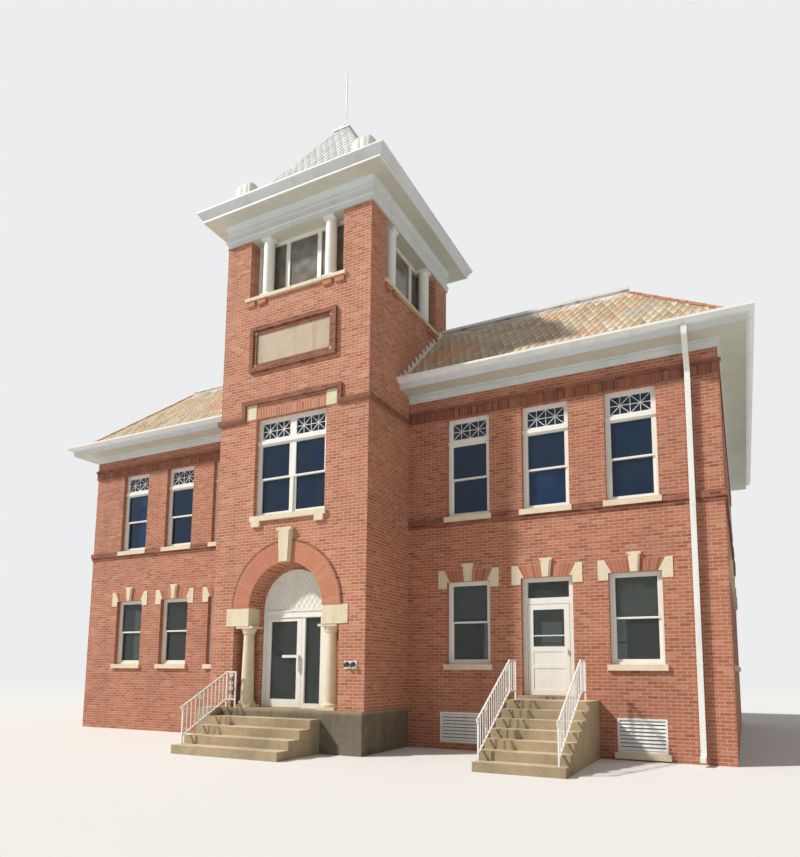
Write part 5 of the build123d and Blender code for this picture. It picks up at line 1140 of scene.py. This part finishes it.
# Twin floodlight beside the doorway: a pale plate with two round dark heads
# that tilt down towards the steps.
LAMP_X = 1.75
LAMP_Z = 1.83
PLATE_HALF_W = 0.150
PLATE_HALF_H = 0.0825
PLATE_DEPTH = 0.022
HEAD_R = 0.052
HEAD_TAPER = 0.82
HEAD_LENGTH = 0.085
HEAD_GAP = 0.075
HEAD_OUT = 0.066
HEAD_TILT = math.radians(112)
dark_metal = mottled("dark_metal", 0.45, 30.0, 0.4, shade(62, 58, 54), shade(92, 86, 78))
shape = ([], [])
add_box(shape, (LAMP_X - PLATE_HALF_W, TOWER_FACE - PLATE_DEPTH, LAMP_Z - PLATE_HALF_H),
        (LAMP_X + PLATE_HALF_W, TOWER_FACE, LAMP_Z + PLATE_HALF_H))
plate = piece_of("lamp_plate", closed_mesh(shape), white_metal)
work = bmesh.new()
for side in (-1, 1):
    place = Matrix.Translation((LAMP_X + side * HEAD_GAP, TOWER_FACE - HEAD_OUT, LAMP_Z))
    bmesh.ops.create_cone(work, cap_ends=True, segments=24, radius1=HEAD_R, radius2=HEAD_R * HEAD_TAPER,
                          depth=HEAD_LENGTH, matrix=place @ Matrix.Rotation(HEAD_TILT, 4, "X"))
heads = bpy.data.meshes.new("heads")
work.to_mesh(heads)
work.free()
piece_of("lamp_heads", heads, dark_metal)
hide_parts("wall_lamp")

# Thin mouldings nailed to the tower's cornice: a bead at the foot of its
# crown, a fillet and a bead along its frieze, and a drip at its top edge.
# Their reach past the tower, foot, top, and how far they stand proud:
TRIMS = ((0.43, 12.752, 12.786, 0.028), (0.015, 12.52, 12.545, 0.020), (0.035, 12.310, 12.340, 0.022),
         (0.575, 12.965, 12.995, 0.0))
TRIM_BED = 0.02
TOWER_HALF_Y = 2.03


def run_round(shape, reach, low, high, proud):
    """A squared moulding round the tower's cornice."""
    corners = []
    for out in (reach - TRIM_BED, reach + proud):
        for z in (low, high):
            corners += [(x * (TOWER_X + out), TOWER_Y + y * (TOWER_HALF_Y + out), z) for x, y in AROUND]
    sides = []
    for a in range(4):
        b = (a + 1) % 4
        sides += [(a, b, b + 4, a + 4), (a + 8, b + 8, b + 12, a + 12), (a, b, b + 8, a + 8),
                  (a + 4, b + 4, b + 12, a + 12)]
    add_part(shape, corners, sides)


shape = ([], [])
for trim in TRIMS:
    run_round(shape, *trim)
piece_of("cornice_trims", closed_mesh(shape), white_paint)

# Floor of the studio, pale and plain, on which the building stands.
# Far from the building it fades into the backdrop.
FLOOR_HALF = 400
FLOOR_Z = -0.002
FADE_START = 22.0
FADE_END = 70.0
BACKGROUND = shade(236, 237, 238)
pale_floor, tree, shader = new_finish("pale_floor", 0.9)
feed(shader, {"Base Color": shade(226, 226, 224)})
away = node_on("ShaderNodeVectorMath", {0: own_place(tree)}, operation="LENGTH").outputs["Value"]
glow = add_node(tree, "ShaderNodeEmission", {"Color": BACKGROUND, "Strength": 1.0}).outputs[0]
fade = {0: between(away, FADE_START, FADE_END), 1: shader.outputs[0], 2: glow}
feed(tree.nodes["Material Output"], {"Surface": node_on("ShaderNodeMixShader", fade).outputs[0]})
floor_mesh = bpy.data.meshes.new("studio_floor")
corners = [(x * FLOOR_HALF, y * FLOOR_HALF, FLOOR_Z) for x, y in AROUND]
floor_mesh.from_pydata(corners, [], [(0, 1, 2, 3)])
floor_mesh.materials.append(pale_floor)
put("studio_floor", floor_mesh)

# Soft daylight from the front left, with an even fill from all round.
# The camera, mirrored light and light through glass meet the pale backdrop.
FILL = 0.32
SUN_STRENGTH = 3.9
SUN_WIDTH = math.radians(3)
SUN_SIDE = math.radians(54)
SUN_HIGH = math.radians(42)
world = bpy.data.worlds.new("studio")
bpy.context.scene.world = world
world.use_nodes = True
tree = world.node_tree
tree.nodes.clear()
fill = add_node(tree, "ShaderNodeBackground", {"Color": (1.0, 1.0, 1.0, 1.0), "Strength": FILL}).outputs[0]
seen = add_node(tree, "ShaderNodeBackground", {"Color": BACKGROUND, "Strength": 1.0}).outputs[0]
path = add_node(tree, "ShaderNodeLightPath").outputs
mirrored = reckon("MAXIMUM", path["Is Glossy Ray"], path["Is Transmission Ray"])
shown = reckon("MAXIMUM", path["Is Camera Ray"], mirrored)
mixed = node_on("ShaderNodeMixShader", {0: shown, 1: fill, 2: seen}).outputs[0]
node_on("ShaderNodeOutputWorld", {"Surface": mixed})
sun = bpy.data.lights.new("key_light", "SUN")
sun.energy = SUN_STRENGTH
sun.angle = SUN_WIDTH
sun.color = (1.0, 0.97, 0.92)
toward_sun = Vector((-math.sin(SUN_SIDE) * math.cos(SUN_HIGH), -math.cos(SUN_SIDE) * math.cos(SUN_HIGH),
                     math.sin(SUN_HIGH)))
put("key_light", sun).rotation_euler = toward_sun.to_track_quat("Z", "Y").to_euler()

# Camera at the photograph's place, in front of the right wing.
# It has the photograph's lens, turn and shift.
CAMERA_PLACE = Vector((9.10, -13.57, 1.721))
YAW = math.radians(-25.946)
PITCH = math.radians(6.856)
ROLL = math.radians(0.313)
ahead = Vector((math.sin(YAW) * math.cos(PITCH), math.cos(YAW) * math.cos(PITCH), math.sin(PITCH)))
right = Vector((math.cos(YAW), -math.sin(YAW), 0))
above = right.cross(ahead)
tilted_right = right * math.cos(ROLL) + above * math.sin(ROLL)
tilted_up = above * math.cos(ROLL) - right * math.sin(ROLL)
view = Matrix((tilted_right, tilted_up, -ahead)).transposed().to_4x4()
view.translation = CAMERA_PLACE
lens = bpy.data.cameras.new("camera")
lens.sensor_fit = "VERTICAL"
lens.sensor_height = 36.0
lens.lens = 27.593
lens.shift_x = -0.0283
lens.shift_y = 0.1902
lens.clip_end = 1000.0
camera = put("camera", lens)
camera.matrix_world = view
bpy.context.scene.camera = camera
bpy.context.scene.view_settings.view_transform = "Standard"
